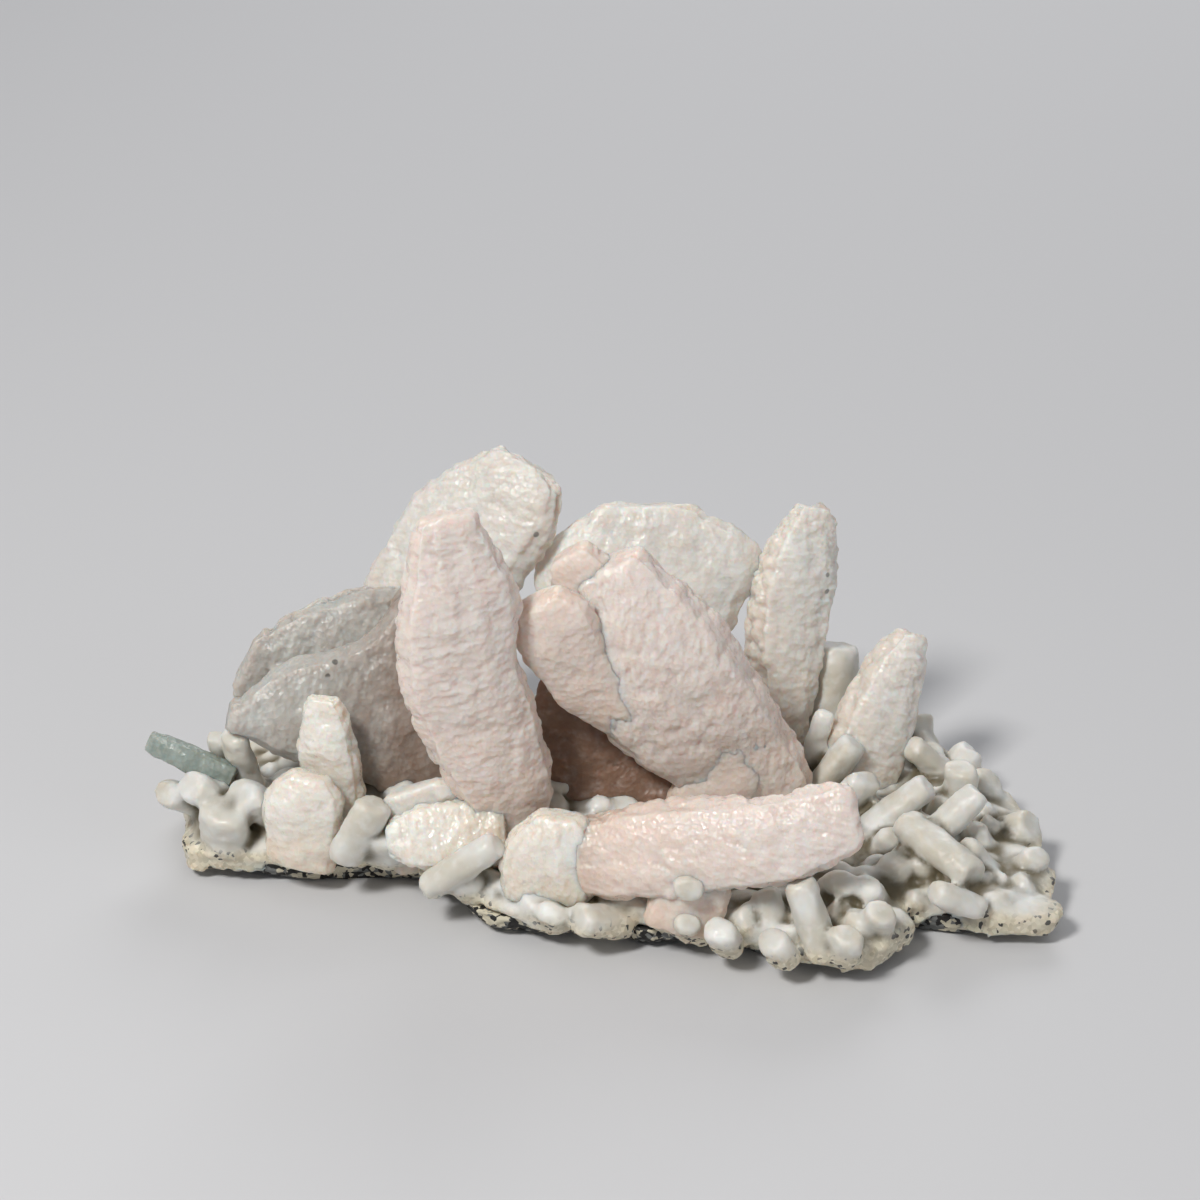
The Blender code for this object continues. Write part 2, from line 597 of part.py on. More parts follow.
def main():
    for old in list(bpy.data.objects):
        bpy.data.objects.remove(old)
    finished = []
    seeded = []
    for order, (name, crystals) in enumerate(BLADES.items()):
        own = [(crystal, SEED + 10 * order + k) for k, crystal in enumerate(crystals)]
        first, *rest = (crystal_object(name, crystal, seed) for crystal, seed in own)
        combine(first, rest, "UNION")
        cut_by(first, seeded)
        first.data.materials.clear()
        first.data.materials.append(material(name, FINISHES.get(name, WHITE_CALCITE)))
        finished.append(first)
        seeded += own
    crust = crust_object(SEED + 1)
    roots = [crystal.root for crystal, _ in seeded] + [stub.root for stub in STUBS]
    stubs = [*STUBS, *scattered_stubs(roots, SEED + 2)]
    combine(crust, [stub_object("stub", s, SEED + 300 + k) for k, s in enumerate(stubs)], "UNION")
    cut_by(crust, seeded)
    crust.data.materials.append(material("crust", CRUST))
    rock = rock_object(SEED + 3)
    cut_by(rock, seeded)
    rock.data.materials.append(material("rock", ROCK))
    for made in (*finished, crust, rock):
        made.data.shade_flat()


main()
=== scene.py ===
# %% [markdown]
# # Pink calcite blades on their rock
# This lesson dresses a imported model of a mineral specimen. Large curved, lens-shaped crystals of pale pink
# manganocalcite stand on a crust of small white calcite crystals, and the crust grew on a slab of dark rock.
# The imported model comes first, as a fixed frame. A finer surface then replaces each of its plain solids.

# %% Load the frame
import math

import bpy
import numpy as np
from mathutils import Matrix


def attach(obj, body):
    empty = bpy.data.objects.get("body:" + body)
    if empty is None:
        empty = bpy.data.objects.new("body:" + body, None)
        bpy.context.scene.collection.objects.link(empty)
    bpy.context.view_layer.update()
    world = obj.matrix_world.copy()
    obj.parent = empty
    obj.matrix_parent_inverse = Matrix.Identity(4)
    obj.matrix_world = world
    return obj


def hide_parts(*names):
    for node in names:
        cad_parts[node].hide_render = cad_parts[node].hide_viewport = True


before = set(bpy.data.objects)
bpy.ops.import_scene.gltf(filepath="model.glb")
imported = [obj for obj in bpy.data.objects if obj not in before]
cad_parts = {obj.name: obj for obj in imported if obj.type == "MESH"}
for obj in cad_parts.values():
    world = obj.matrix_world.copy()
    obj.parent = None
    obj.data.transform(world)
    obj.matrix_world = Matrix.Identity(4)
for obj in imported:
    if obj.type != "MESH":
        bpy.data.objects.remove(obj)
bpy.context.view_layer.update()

MM = 0.001

# %% [markdown]
# ## Camera
# A specimen is photographed from a little above with a long lens, which keeps its crystals from looking
# stretched. The camera could be aimed by a constraint. Its turn is set directly here, because one elevation
# above the floor says it all: a camera that looks along the floor is turned 90 degrees, so it is turned by
# 90 degrees less that elevation.

# %% Make the camera
ELEVATION = math.radians(27.0)
LENS = 100.0
DISTANCE = 558.6  # mm from the point that it looks at
LOOKS_AT = np.array([1.05, 19.45, 38.8])  # mm
forward = np.array([0.0, math.cos(ELEVATION), -math.sin(ELEVATION)])
camera = bpy.data.objects.new("camera", bpy.data.cameras.new("camera"))
bpy.context.scene.collection.objects.link(camera)
camera.data.lens = LENS
camera.data.sensor_width = 36.0
camera.data.clip_start = 0.02
camera.location = (LOOKS_AT - forward * DISTANCE) * MM
camera.rotation_euler = (math.radians(90.0) - ELEVATION, 0.0, 0.0)
bpy.context.scene.camera = camera
print("camera at", [round(v, 3) for v in camera.location])

# %% [markdown]
# ## Floor and light
# Pale crystals need soft light with one clear direction: the broad lamp at the upper front left shapes the
# blades and makes their ripples glint, and a weaker one opens the shadows on the right. A third lamp behind
# gives the thin rims the glow of light that has passed through them. An even pale world fills the rest.

# %% Make the floor, the lamps and the world
FLOOR_SIDE = 6.0


def plain_material(name, colour, roughness):
    made = bpy.data.materials.new(name)
    made.use_nodes = True
    shader = made.node_tree.nodes["Principled BSDF"]
    shader.inputs["Base Color"].default_value = (*colour, 1.0)
    shader.inputs["Roughness"].default_value = roughness
    return made


half = FLOOR_SIDE / 2.0
floor_mesh = bpy.data.meshes.new("floor")
floor_corners = [(-half, -half, 0), (half, -half, 0), (half, half, 0), (-half, half, 0)]
floor_mesh.from_pydata(floor_corners, [], [(0, 1, 2, 3)])
floor = bpy.data.objects.new("floor", floor_mesh)
bpy.context.scene.collection.objects.link(floor)
floor_mesh.materials.append(plain_material("floor", (0.62, 0.62, 0.63), 0.9))


def lamp(name, place, side, power, colour):
    """A square area lamp at a place in metres, turned to face the specimen."""
    data = bpy.data.lights.new(name, "AREA")
    data.size = side
    data.energy = power
    data.color = colour
    made = bpy.data.objects.new(name, data)
    made.location = place
    away = np.array(place) - LOOKS_AT * MM
    flat = math.hypot(away[0], away[1])
    made.rotation_euler = (math.atan2(flat, away[2]), 0.0, math.atan2(away[1], away[0]) + math.pi / 2.0)
    bpy.context.scene.collection.objects.link(made)


lamp("key", (-0.36, -0.50, 0.75), 0.18, 6.6, (1.0, 0.985, 0.96))
lamp("fill", (0.75, -0.55, 0.35), 0.60, 0.9, (0.93, 0.96, 1.0))
lamp("back", (0.15, 0.75, 0.60), 0.50, 2.4, (1.0, 1.0, 1.0))
world = bpy.data.worlds.new("studio")
world.use_nodes = True
world.node_tree.nodes["Background"].inputs["Color"].default_value = (0.93, 0.95, 1.0, 1.0)
world.node_tree.nodes["Background"].inputs["Strength"].default_value = 0.26
bpy.context.scene.world = world
bpy.context.scene.view_settings.view_transform = "Standard"

# %% [markdown]
# ## Random surfaces
# A crystal's skin is irregular at every scale, but the same each time that the script runs. Blender's own
# textures could displace a mesh. Plain numpy is used instead, because the same numbers then also say
# where the skin is high, low or steep, and the finishes need that.
# Two kinds of random field are enough: a smooth one for swellings, and one made of small tilted planes, which
# is what a skin of many tiny crystal faces looks like.

# %% Smooth noise
LATTICE_SIZE = 4096
LATTICE = np.random.default_rng(11).random((LATTICE_SIZE, 6))


def lattice_row(cell, seed):
    """The row of the lattice table for whole-number cells: their coordinates times large primes, mixed."""
    mixed = (cell[:, 0] * 73856093) ^ (cell[:, 1] * 19349663) ^ (cell[:, 2] * 83492791) ^ (seed * 2654435)
    mixed ^= mixed >> 13
    return mixed & (LATTICE_SIZE - 1)


def noise(points, size, seed):
    """Smooth values from -1 to 1: eight values at the corners of a point's box, blended by 3t^2 - 2t^3."""
    scaled = points / size
    base = np.floor(scaled).astype(np.int64)
    share = scaled - base
    share = share * share * (3.0 - 2.0 * share)
    total = np.zeros(len(points))
    for corner in np.ndindex(2, 2, 2):
        weight = np.prod(np.where(corner, share, 1.0 - share), axis=1)
        total += weight * LATTICE[lattice_row(base + corner, seed), 0]
    return 2.0 * total - 1.0


def rough(points, size, seed, octaves=3):
    """Noise added to itself, each time at half the size and half the height."""
    return sum(noise(points, size / 2.0**k, seed + k) / 2.0**k for k in range(octaves))


sample = rough(np.random.default_rng(1).random((2000, 3)) * 50.0, 5.0, 3)
print("rough noise runs from", round(sample.min(), 2), "to", round(sample.max(), 2))

# %% Facets


def facets(points, size, seed, dome=0.0, crisp=10.0):
    """Heights of a skin of small tilted faces.

    Space is cut into boxes of `size`, each with one centre at random in it and a plane through that centre
    with a random slope from -1 to 1 along each axis. A point takes the mean of the planes round it, weighted
    by exp(-crisp * squared distance to their centres), so it mostly lies on the nearest one. `dome` bends
    each plane down by that much times its squared distance, which makes it a pebble.
    """
    scaled = points / size
    base = np.floor(scaled).astype(np.int64)
    total = np.zeros(len(points))
    weights = np.zeros(len(points))
    for step in np.ndindex(3, 3, 3):
        cell = base + (np.array(step) - 1)
        chance = LATTICE[lattice_row(cell, seed)]
        offset = scaled - cell - (0.15 + 0.7 * chance[:, :3])
        squared = (offset**2).sum(axis=1)
        weight = np.exp(-crisp * squared)
        total += weight * ((offset * (2.0 * chance[:, 3:] - 1.0)).sum(axis=1) - dome * squared)
        weights += weight
    return total / weights


sample = facets(np.random.default_rng(2).random((2000, 3)) * 50.0, 4.0, 5)
print("facets run from", round(sample.min(), 2), "to", round(sample.max(), 2))

# %% [markdown]
# ## From numbers to a mesh
# Every new piece is a grid of points: rings one after another round an axis, closed by a pole at each end.
# The points could be made one at a time with bmesh. Whole arrays are used, because a blade has about 50,000
# of them, and numpy gives the normals too.

# %% Grids, normals and pieces


def unit(vectors):
    vectors = np.asarray(vectors, float)
    return vectors / np.maximum(np.linalg.norm(vectors, axis=-1, keepdims=True), 1e-12)


def step_up(values, low, high):
    """Rises smoothly from 0 at low to 1 at high."""
    share = np.clip((values - low) / (high - low), 0.0, 1.0)
    return share * share * (3.0 - 2.0 * share)


def grid_normals(grid):
    """Outward normals of rings: the cross product of the steps round the ring and to the next ring."""
    round_ring = np.roll(grid, -1, axis=1) - np.roll(grid, 1, axis=1)
    to_next = np.gradient(grid, axis=0)
    normals = unit(np.cross(round_ring, to_next))
    outward = grid - grid.mean(axis=1, keepdims=True)
    return normals * np.where((normals * outward).sum() < 0.0, -1.0, 1.0)


def ring_faces(rings, around):
    """Quads between neighbouring rings, and fans to the two poles, which come last in the point list."""
    ring, spot = np.meshgrid(np.arange(rings - 1), np.arange(around), indexing="ij")
    after = (spot + 1) % around
    quads = np.stack([ring, ring, ring + 1, ring + 1], axis=-1) * around
    quads = (quads + np.stack([spot, after, after, spot], axis=-1)).reshape(-1, 4)
    spot = np.arange(around)
    after = (spot + 1) % around
    last = (rings - 1) * around
    first_fan = np.stack([np.full(around, rings * around), after, spot], axis=1)
    last_fan = np.stack([np.full(around, rings * around + 1), last + spot, last + after], axis=1)
    return quads, np.concatenate([first_fan, last_fan])


def shell(grid):
    """Points, quads and triangles of a closed shell made of a grid of rings."""
    rings, around, _ = grid.shape
    poles = np.stack([grid[0].mean(axis=0), grid[-1].mean(axis=0)])
    quads, fans = ring_faces(rings, around)
    return np.concatenate([grid.reshape(-1, 3), poles]), quads, fans


def mesh_object(name, points, quads, fans, marks=()):
    """A mesh object from arrays in mm, with faces turned outwards and one number per point for each mark."""
    triangles = np.concatenate([quads[:, :3], quads[:, [0, 2, 3]], fans])
    first, second, third = (points[triangles[:, k]] for k in range(3))
    if (first * np.cross(second, third)).sum() < 0.0:
        quads, fans = quads[:, ::-1], fans[:, ::-1]
    corners = np.concatenate([quads.ravel(), fans.ravel()]).astype(np.int32)
    starts = np.concatenate([np.arange(len(quads)) * 4, len(quads) * 4 + np.arange(len(fans)) * 3])
    mesh = bpy.data.meshes.new(name)
    mesh.vertices.add(len(points))
    mesh.vertices.foreach_set("co", (points * MM).astype(np.float32).ravel())
    mesh.loops.add(len(corners))
    mesh.loops.foreach_set("vertex_index", corners)
    mesh.polygons.add(len(starts))
    mesh.polygons.foreach_set("loop_start", starts.astype(np.int32))
    mesh.update(calc_edges=True)
    mesh.validate()
    mesh.shade_smooth()
    for mark, values in dict(marks).items():
        made = mesh.attributes.new(mark, "FLOAT", "POINT")
        made.data.foreach_set("value", np.asarray(values, np.float32))
    piece = bpy.data.objects.new(name, mesh)
    bpy.context.scene.collection.objects.link(piece)
    return piece



def finish_piece(piece, finish, node):
    """Gives a piece its material and its place in the frame, and hides the imported node that it stands for.
    """
    piece.data.materials.clear()
    piece.data.materials.append(finish)
    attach(piece, "root")
    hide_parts(node)
    triangles = sum(len(p.vertices) - 2 for p in piece.data.polygons)
    print(piece.name, triangles, "triangles")


print("grid, normal and mesh helpers are ready")

# %% [markdown]
# ## The finish of calcite
# Calcite is a milky glass: light enters, is scattered warm and pale, and comes out some millimetres away.
# Manganese makes it pink. The skin is smooth in small patches, so it glints. Subsurface scattering gives
# the milky depth, and marks that the shapes carry paint shade into the colour: a warm shade at roots and
# rims, shade in the ripples' valleys and a darker shade at the roots, while the crests stay pale. The finest
# grain is a bump, because it is smaller than the mesh.

# %% Build the calcite finish


class Graph:
    """A small helper that adds shader nodes and links them."""

    def __init__(self, name):
        self.material = bpy.data.materials.new(name)
        self.material.use_nodes = True
        self.tree = self.material.node_tree
        self.shader = self.tree.nodes["Principled BSDF"]

    def add(self, kind, inputs=(), **settings):
        node = self.tree.nodes.new(kind)
        for key, value in settings.items():
            setattr(node, key, value)
        for key, value in dict(inputs).items():
            if isinstance(value, bpy.types.NodeSocket):
                self.tree.links.new(value, node.inputs[key])
            else:
                node.inputs[key].default_value = value
        return node

    def mark(self, name):
        return self.add("ShaderNodeAttribute", attribute_name=name).outputs["Fac"]

    def place(self):
        return self.add("ShaderNodeTexCoord").outputs["Object"]

    def noise(self, scale, detail=3.0, roughness=0.5):
        inputs = {"Vector": self.place(), "Scale": scale, "Detail": detail, "Roughness": roughness}
        return self.add("ShaderNodeTexNoise", inputs).outputs["Fac"]

    def cells(self, scale, feature="F1"):
        return self.add("ShaderNodeTexVoronoi", {"Vector": self.place(), "Scale": scale}, feature=feature)

    def spread(self, value, low, high, start=0.0, end=1.0):
        inputs = {"Value": value, "From Min": low, "From Max": high, "To Min": start, "To Max": end}
        return self.add("ShaderNodeMapRange", inputs).outputs["Result"]

    def math(self, operation, first, second):
        return self.add("ShaderNodeMath", {0: first, 1: second}, operation=operation).outputs[0]

    def mix(self, share, first, second, blend="MIX"):
        node = self.add("ShaderNodeMix", data_type="RGBA", blend_type=blend)
        for socket, value in (("Factor", share), ("A", first), ("B", second)):
            found = [s for s in node.inputs if s.name == socket and s.enabled][0]
            if isinstance(value, bpy.types.NodeSocket):
                self.tree.links.new(value, found)
            else:
                found.default_value = (*value, 1.0) if isinstance(value, tuple) else value
        return [s for s in node.outputs if s.enabled][0]

    def set(self, name, value):
        if isinstance(value, bpy.types.NodeSocket):
            self.tree.links.new(value, self.shader.inputs[name])
        else:
            self.shader.inputs[name].default_value = value

    def bump(self, height, distance, strength=1.0, below=None):
        inputs = {"Height": height, "Distance": distance, "Strength": strength}
        if below is not None:
            inputs["Normal"] = below
        return self.add("ShaderNodeBump", inputs).outputs["Normal"]


def calcite(name, pale, warm, shade, depth=2.8, roughness=0.4, specks=0.0, grain=0.06):
    """Milky calcite, pale where the warm mark is low; painted warm shade where it is high, painted shade in
    the ripple valleys, and the colour `shade` painted where the shade mark is high.
    """
    graph = Graph(name)
    cloud = graph.noise(160.0, 3.0, 0.55)
    veil = graph.noise(600.0, 2.0)
    # Painted warm shade where the warm mark is high (roots, rims, crevices), mixed with random tone from the
    # cloud.
    warm_shade_and_tone = graph.math("ADD", graph.mark("warm_shade_and_tone"), graph.spread(cloud, 0.35, 0.65, -0.16, 0.16))
    colour = graph.mix(graph.spread(warm_shade_and_tone, 0.0, 1.0), pale, warm)
    colour = graph.mix(graph.spread(veil, 0.50, 0.75, 0.0, 0.14), colour, (0.93, 0.93, 0.92))
    # Painted shade: the ripples' low places are multiplied by the warm colour.
    colour = graph.mix(graph.spread(graph.mark("relief"), -1.0, 1.0, 0.30, 0.0), colour, warm, "MULTIPLY")
    # Painted shade: darker at the blades' roots and in the crust's crevices, where shade falls.
    colour = graph.mix(graph.mark("painted_shade"), colour, shade)
    if specks:
        dots = graph.cells(330.0).outputs["Distance"]
        gate = graph.spread(graph.noise(85.0, 2.0), 0.66, 0.68)
        dark = graph.math("MULTIPLY", graph.spread(dots, 0.20, 0.14), gate)
        colour = graph.mix(graph.math("MULTIPLY", dark, specks), colour, (0.03, 0.025, 0.02))
    graph.set("Base Color", colour)
    polish = graph.spread(graph.noise(900.0, 2.0), 0.35, 0.65, roughness - 0.09, roughness + 0.13)
    graph.set("Roughness", polish)
    crystals = graph.bump(graph.cells(1150.0).outputs["Distance"], 0.16 * MM)
    graph.set("Normal", graph.bump(graph.noise(1500.0, 3.0, 0.6), grain * MM, below=crystals))
    graph.set("Subsurface Weight", 1.0)
    graph.set("Subsurface Radius", (1.0, 0.62, 0.45))
    graph.set("Subsurface Scale", depth * MM)
    graph.set("IOR", 1.55)
    return graph.material


PINK = calcite("pink_calcite", (0.82, 0.765, 0.725), (0.79, 0.66, 0.575), (0.42, 0.30, 0.22), roughness=0.36)
PEACH = calcite("peach_calcite", (0.81, 0.735, 0.68), (0.77, 0.63, 0.53), (0.42, 0.30, 0.22), roughness=0.42)
# Painted shade: the shaded blade lies under the great blade's overhang, and its dark brown colour stands in
# for that shade.
SHADED = calcite("shaded_calcite", (0.34, 0.215, 0.15), (0.25, 0.15, 0.10), (0.2, 0.13, 0.09), specks=1.0)
MILKY = calcite("milky_calcite", (0.80, 0.80, 0.77), (0.74, 0.64, 0.54), (0.33, 0.30, 0.24), specks=0.6)
# Its warm colour is a dark shade, painted where the warm mark is high.
GREYED = calcite("greyed_calcite", (0.60, 0.60, 0.565), (0.34, 0.255, 0.205), (0.30, 0.27, 0.22), specks=0.7)
PEARL = calcite("pearly_calcite", (0.86, 0.85, 0.81), (0.78, 0.68, 0.56), (0.40, 0.35, 0.27), roughness=0.3)
GREY_GLASS = calcite("grey_calcite", (0.36, 0.42, 0.39), (0.30, 0.34, 0.30), (0.16, 0.17, 0.14), depth=2.0)
print("finishes:", [m.name for m in bpy.data.materials])

# %% [markdown]
# ## The blades' measurements
# Each blade is a lens, seen on its broad face: a spine from root to tip, and the half width to its left and
# right at eight places along it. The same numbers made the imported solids, so a finer surface made from
# them lands in the same place. They are written in plan millimetres, and the plan's centre is taken off.

# %% The table of blades
PLAN_CENTRE = np.array([-0.55, 0.35, 0.0])
STATIONS = (0.0, 0.15, 0.3, 0.45, 0.6, 0.75, 0.88, 0.96)


def blade(root, tip, left, right, thick, faces, bow=(0.0, 0.0, 0.0)):
    """The measurements of one blade in mm, as arrays."""
    names = ("root", "tip", "left", "right", "thick", "faces", "bow")
    values = (root, tip, left, right, thick, faces, bow)
    made = {name: np.array(value, float) for name, value in zip(names, values)}
    made["root"] = made["root"] - PLAN_CENTRE
    made["tip"] = made["tip"] - PLAN_CENTRE
    return made


BLADES = {
    "tall_front_blade": blade(
        (-11.5, -6, 4), (-22, -13, 71.5), (4, 7, 10, 13, 14, 12.5, 9.5, 7.5),
        (4.5, 5.5, 7, 7.2, 6, 7, 5.5, 4),
        (4.8, 5.2), (0.25, -0.95, 0.2), (0, -1.5, 0)),
    "great_blade": blade(
        (33, 5, 10), (4.5, -2, 59), (8, 13, 16, 18.5, 19.5, 16, 13, 10.5), (4, 6, 6.5, 7, 7, 6, 4, 3),
        (6, 6), (-0.12, -0.93, 0.3), (0, -2.5, 0)),
    "great_blade_shoulder": blade(
        (13.5, 2.5, 29.5), (-4, -1.5, 58.8), (7, 9, 9.5, 9, 8.5, 8, 7, 5.5), (5, 6, 7, 7, 6, 5, 4, 3),
        (3.6, 4), (-0.25, -0.9, 0.3)),
    "great_blade_corner": blade(
        (9.5, -0.5, 24.5), (-10.5, -8, 53), (3, 5, 7, 8.5, 8, 7.5, 6, 4.5), (3.5, 4, 4, 4.5, 5.5, 7, 7, 5.5),
        (4.6, 4), (-0.3, -0.88, 0.3)),
    "great_blade_foot": blade(
        (16.5, -3, 5), (23.5, 0, 33), (5.5, 6, 6.5, 6.5, 6.5, 6.5, 6, 5), (6, 6.5, 7, 7.5, 7.5, 7.5, 6, 5),
        (4, 4.5), (0.1, -0.95, 0.2)),
    "shaded_blade": blade(
        (4, -0.5, 4), (3.5, 9.5, 36.5), (11, 12.5, 13, 13.5, 14, 13.5, 11, 8),
        (11, 14, 16, 17, 17, 16, 13, 9),
        (2.4, 2.6), (0.05, -0.95, 0.25)),
    "high_back_blade": blade(
        (-42, 21, 5), (-11, 30, 59.5), (7, 11.5, 15, 16, 16, 16, 12, 7.5), (6, 8, 9.5, 9.5, 9, 9.5, 9.5, 8),
        (5.6, 5), (-0.4, -0.82, 0.4)),
    "left_arched_blade": blade(
        (-22, 14, 14), (-58.5, 11.5, 33), (8, 8, 8, 8, 8, 7.5, 8, 8), (11, 19, 23, 23, 20.5, 16.5, 11, 6),
        (3.6, 3.8), (-0.25, -0.9, 0.35)),
    "left_wedge_blade": blade(
        (-24, 6, 18), (-60.5, 0.5, 27), (9, 9, 8, 7.5, 6.5, 5, 3, 2.5),
        (20, 30, 28, 18.5, 14, 11.5, 7.5, 3.5),
        (4.4, 3.4), (-0.15, -0.9, 0.35)),
    "back_fan_blade": blade(
        (9.5, 18.5, 5), (10, 30, 52), (7, 8.5, 10.5, 14.5, 18.5, 21, 17.5, 12),
        (7, 8.5, 10, 11.5, 14.5, 18, 16, 9),
        (5.2, 5.4), (0.08, -0.93, 0.3)),
    "back_spindle": blade(
        (30.5, 20, 5), (36.5, 32, 50.5), (4, 5.5, 6.5, 8, 9, 8.5, 6.5, 4), (4, 4.5, 5, 5.5, 6, 6.5, 5.5, 4),
        (5, 5), (0.4, -0.9, 0.2)),
    "right_spindle": blade(
        (41.5, 11, 5), (53, 22, 32), (5.5, 6.5, 7, 7, 6.5, 5.5, 4, 2.5), (6.5, 7.5, 8, 7.5, 6.5, 5.5, 4.5, 3),
        (5.4, 5.2), (0.35, -0.88, 0.35)),
    "low_front_blade": blade(
        (-3, -21.5, 15.5), (41, -29, 26.5), (5.5, 6, 6.5, 6, 5.5, 5.5, 5.5, 5.5),
        (8, 9, 9.5, 9.5, 9.5, 9, 7.5, 6),
        (5.2, 5.6), (0.05, -0.9, 0.4), (0, -1.5, 0)),
    "low_front_foot": blade(
        (13.5, -29, 5), (16, -27.5, 18), (6.5, 6.5, 6.5, 6, 6, 5.5, 5, 4), (6, 6, 6.5, 6.5, 6.5, 6, 5, 4),
        (3.2, 3.6), (0, -0.98, 0.2)),
    "front_broken_blade": blade(
        (-7, -22.5, 6), (-5.5, -22.5, 22.5), (8.5, 9, 9.5, 9.5, 9, 8, 6.5, 5),
        (6, 6.5, 7, 7, 6.5, 5.5, 4.5, 3.5),
        (4, 4.5), (-0.15, -0.93, 0.3)),
    "upright_crystal": blade(
        (-42.5, -2.5, 4), (-44, -5, 34), (3.5, 4, 4.5, 5, 5.6, 5.2, 4.5, 3.6),
        (4.5, 5, 5, 5.2, 5, 4.4, 3.6, 2.6),
        (2.8, 2.8), (-0.25, -0.95, 0.15)),
    "pearly_chunk": blade(
        (-49.5, -9, 5), (-46.5, -8.5, 21.5), (5, 6, 6.5, 7, 7, 6.5, 5, 3.5),
        (6.5, 6.5, 6.5, 6.5, 6.5, 6, 5, 3.5),
        (3.4, 2.6), (-0.1, -0.95, 0.3)),
    "low_arched_blade": blade(
        (-26, -8.5, 5), (-30, -11, 20.5), (7, 8, 8.5, 9, 9, 8.5, 7, 5), (7, 8, 8.5, 9, 9.5, 9, 7.5, 5),
        (2.2, 2.2), (0, -0.85, 0.5)),
    "low_scaly_blade": blade(
        (-14.5, -14, 13), (-34.5, -15.5, 13), (5, 5.5, 5.5, 5.5, 5.5, 5, 4, 3),
        (4.5, 5.5, 6, 6, 6, 5.5, 4.5, 3),
        (2.6, 2.6), (0, -0.85, 0.55)),
    "grey_prism": blade(
        (-60, 1, 15), (-74.5, 3, 21.5), (2.3, 2.4, 2.4, 2.4, 2.3, 2.3, 2.2, 2.0),
        (2.3, 2.4, 2.4, 2.4, 2.3, 2.3, 2.2, 2.0),
        (2.3, 2.3), (0, -0.95, 0.3)),
}
longest = max(BLADES, key=lambda name: np.linalg.norm(BLADES[name]["tip"] - BLADES[name]["root"]))
print(len(BLADES), "lofts, the longest is", longest)

# %% [markdown]
# ## The surface of a blade
# A blade is a loft: one cross section, scaled to the widths at each place along the spine. The section has
# flat faces with softened corners, because the broad face of such a crystal meets its rim in a visible
# edge. A Skin or Subdivision modifier would round all of that away. Both ends close in a blunt curve.

# %% Loft a blade
SECTION = np.array([
    (-1.0, 0.15), (-0.82, 0.74), (-0.34, 1.0), (0.34, 1.0), (0.82, 0.74), (1.0, 0.15),
    (1.0, -0.3), (0.78, -0.84), (0.3, -1.0), (-0.3, -1.0), (-0.78, -0.84), (-1.0, -0.3),
])
FINE_SECTION = 720  # points of the section while its corners are softened


def softened_section(around, softness):
    """The section's outline at equal steps, its corners softened by a bell-shaped running mean."""
    corners = np.concatenate([SECTION, SECTION[:1]])
    walked = np.concatenate([[0.0], np.cumsum(np.linalg.norm(np.diff(corners, axis=0), axis=1))])
    at = np.linspace(0.0, walked[-1], FINE_SECTION, endpoint=False)
    outline = np.stack([np.interp(at, walked, corners[:, k]) for k in (0, 1)], axis=1)
    offsets = np.fft.fftfreq(FINE_SECTION)
    bell = np.exp(-0.5 * (offsets / softness) ** 2)
    bell /= bell.sum()
    soft = np.fft.ifft(np.fft.fft(outline, axis=0) * np.fft.fft(bell)[:, None], axis=0).real
    read = np.arange(around) * FINE_SECTION / around
    steps = np.arange(FINE_SECTION)
    return np.stack([np.interp(read, steps, soft[:, k], period=FINE_SECTION) for k in (0, 1)], axis=1)


def through(at, known, values):
    """A smooth curve through the known values: cubic pieces that share their slopes where they meet."""
    known = np.asarray(known, float)
    values = np.asarray(values, float)
    slopes = np.gradient(values, known)
    piece = np.clip(np.searchsorted(known, at) - 1, 0, len(known) - 2)
    width = known[piece + 1] - known[piece]
    t = (at - known[piece]) / width
    start = (1.0 + 2.0 * t) * (1.0 - t) ** 2 * values[piece] + t * (1.0 - t) ** 2 * width * slopes[piece]
    end = t * t * (3.0 - 2.0 * t) * values[piece + 1] + t * t * (t - 1.0) * width * slopes[piece + 1]
    return start + end


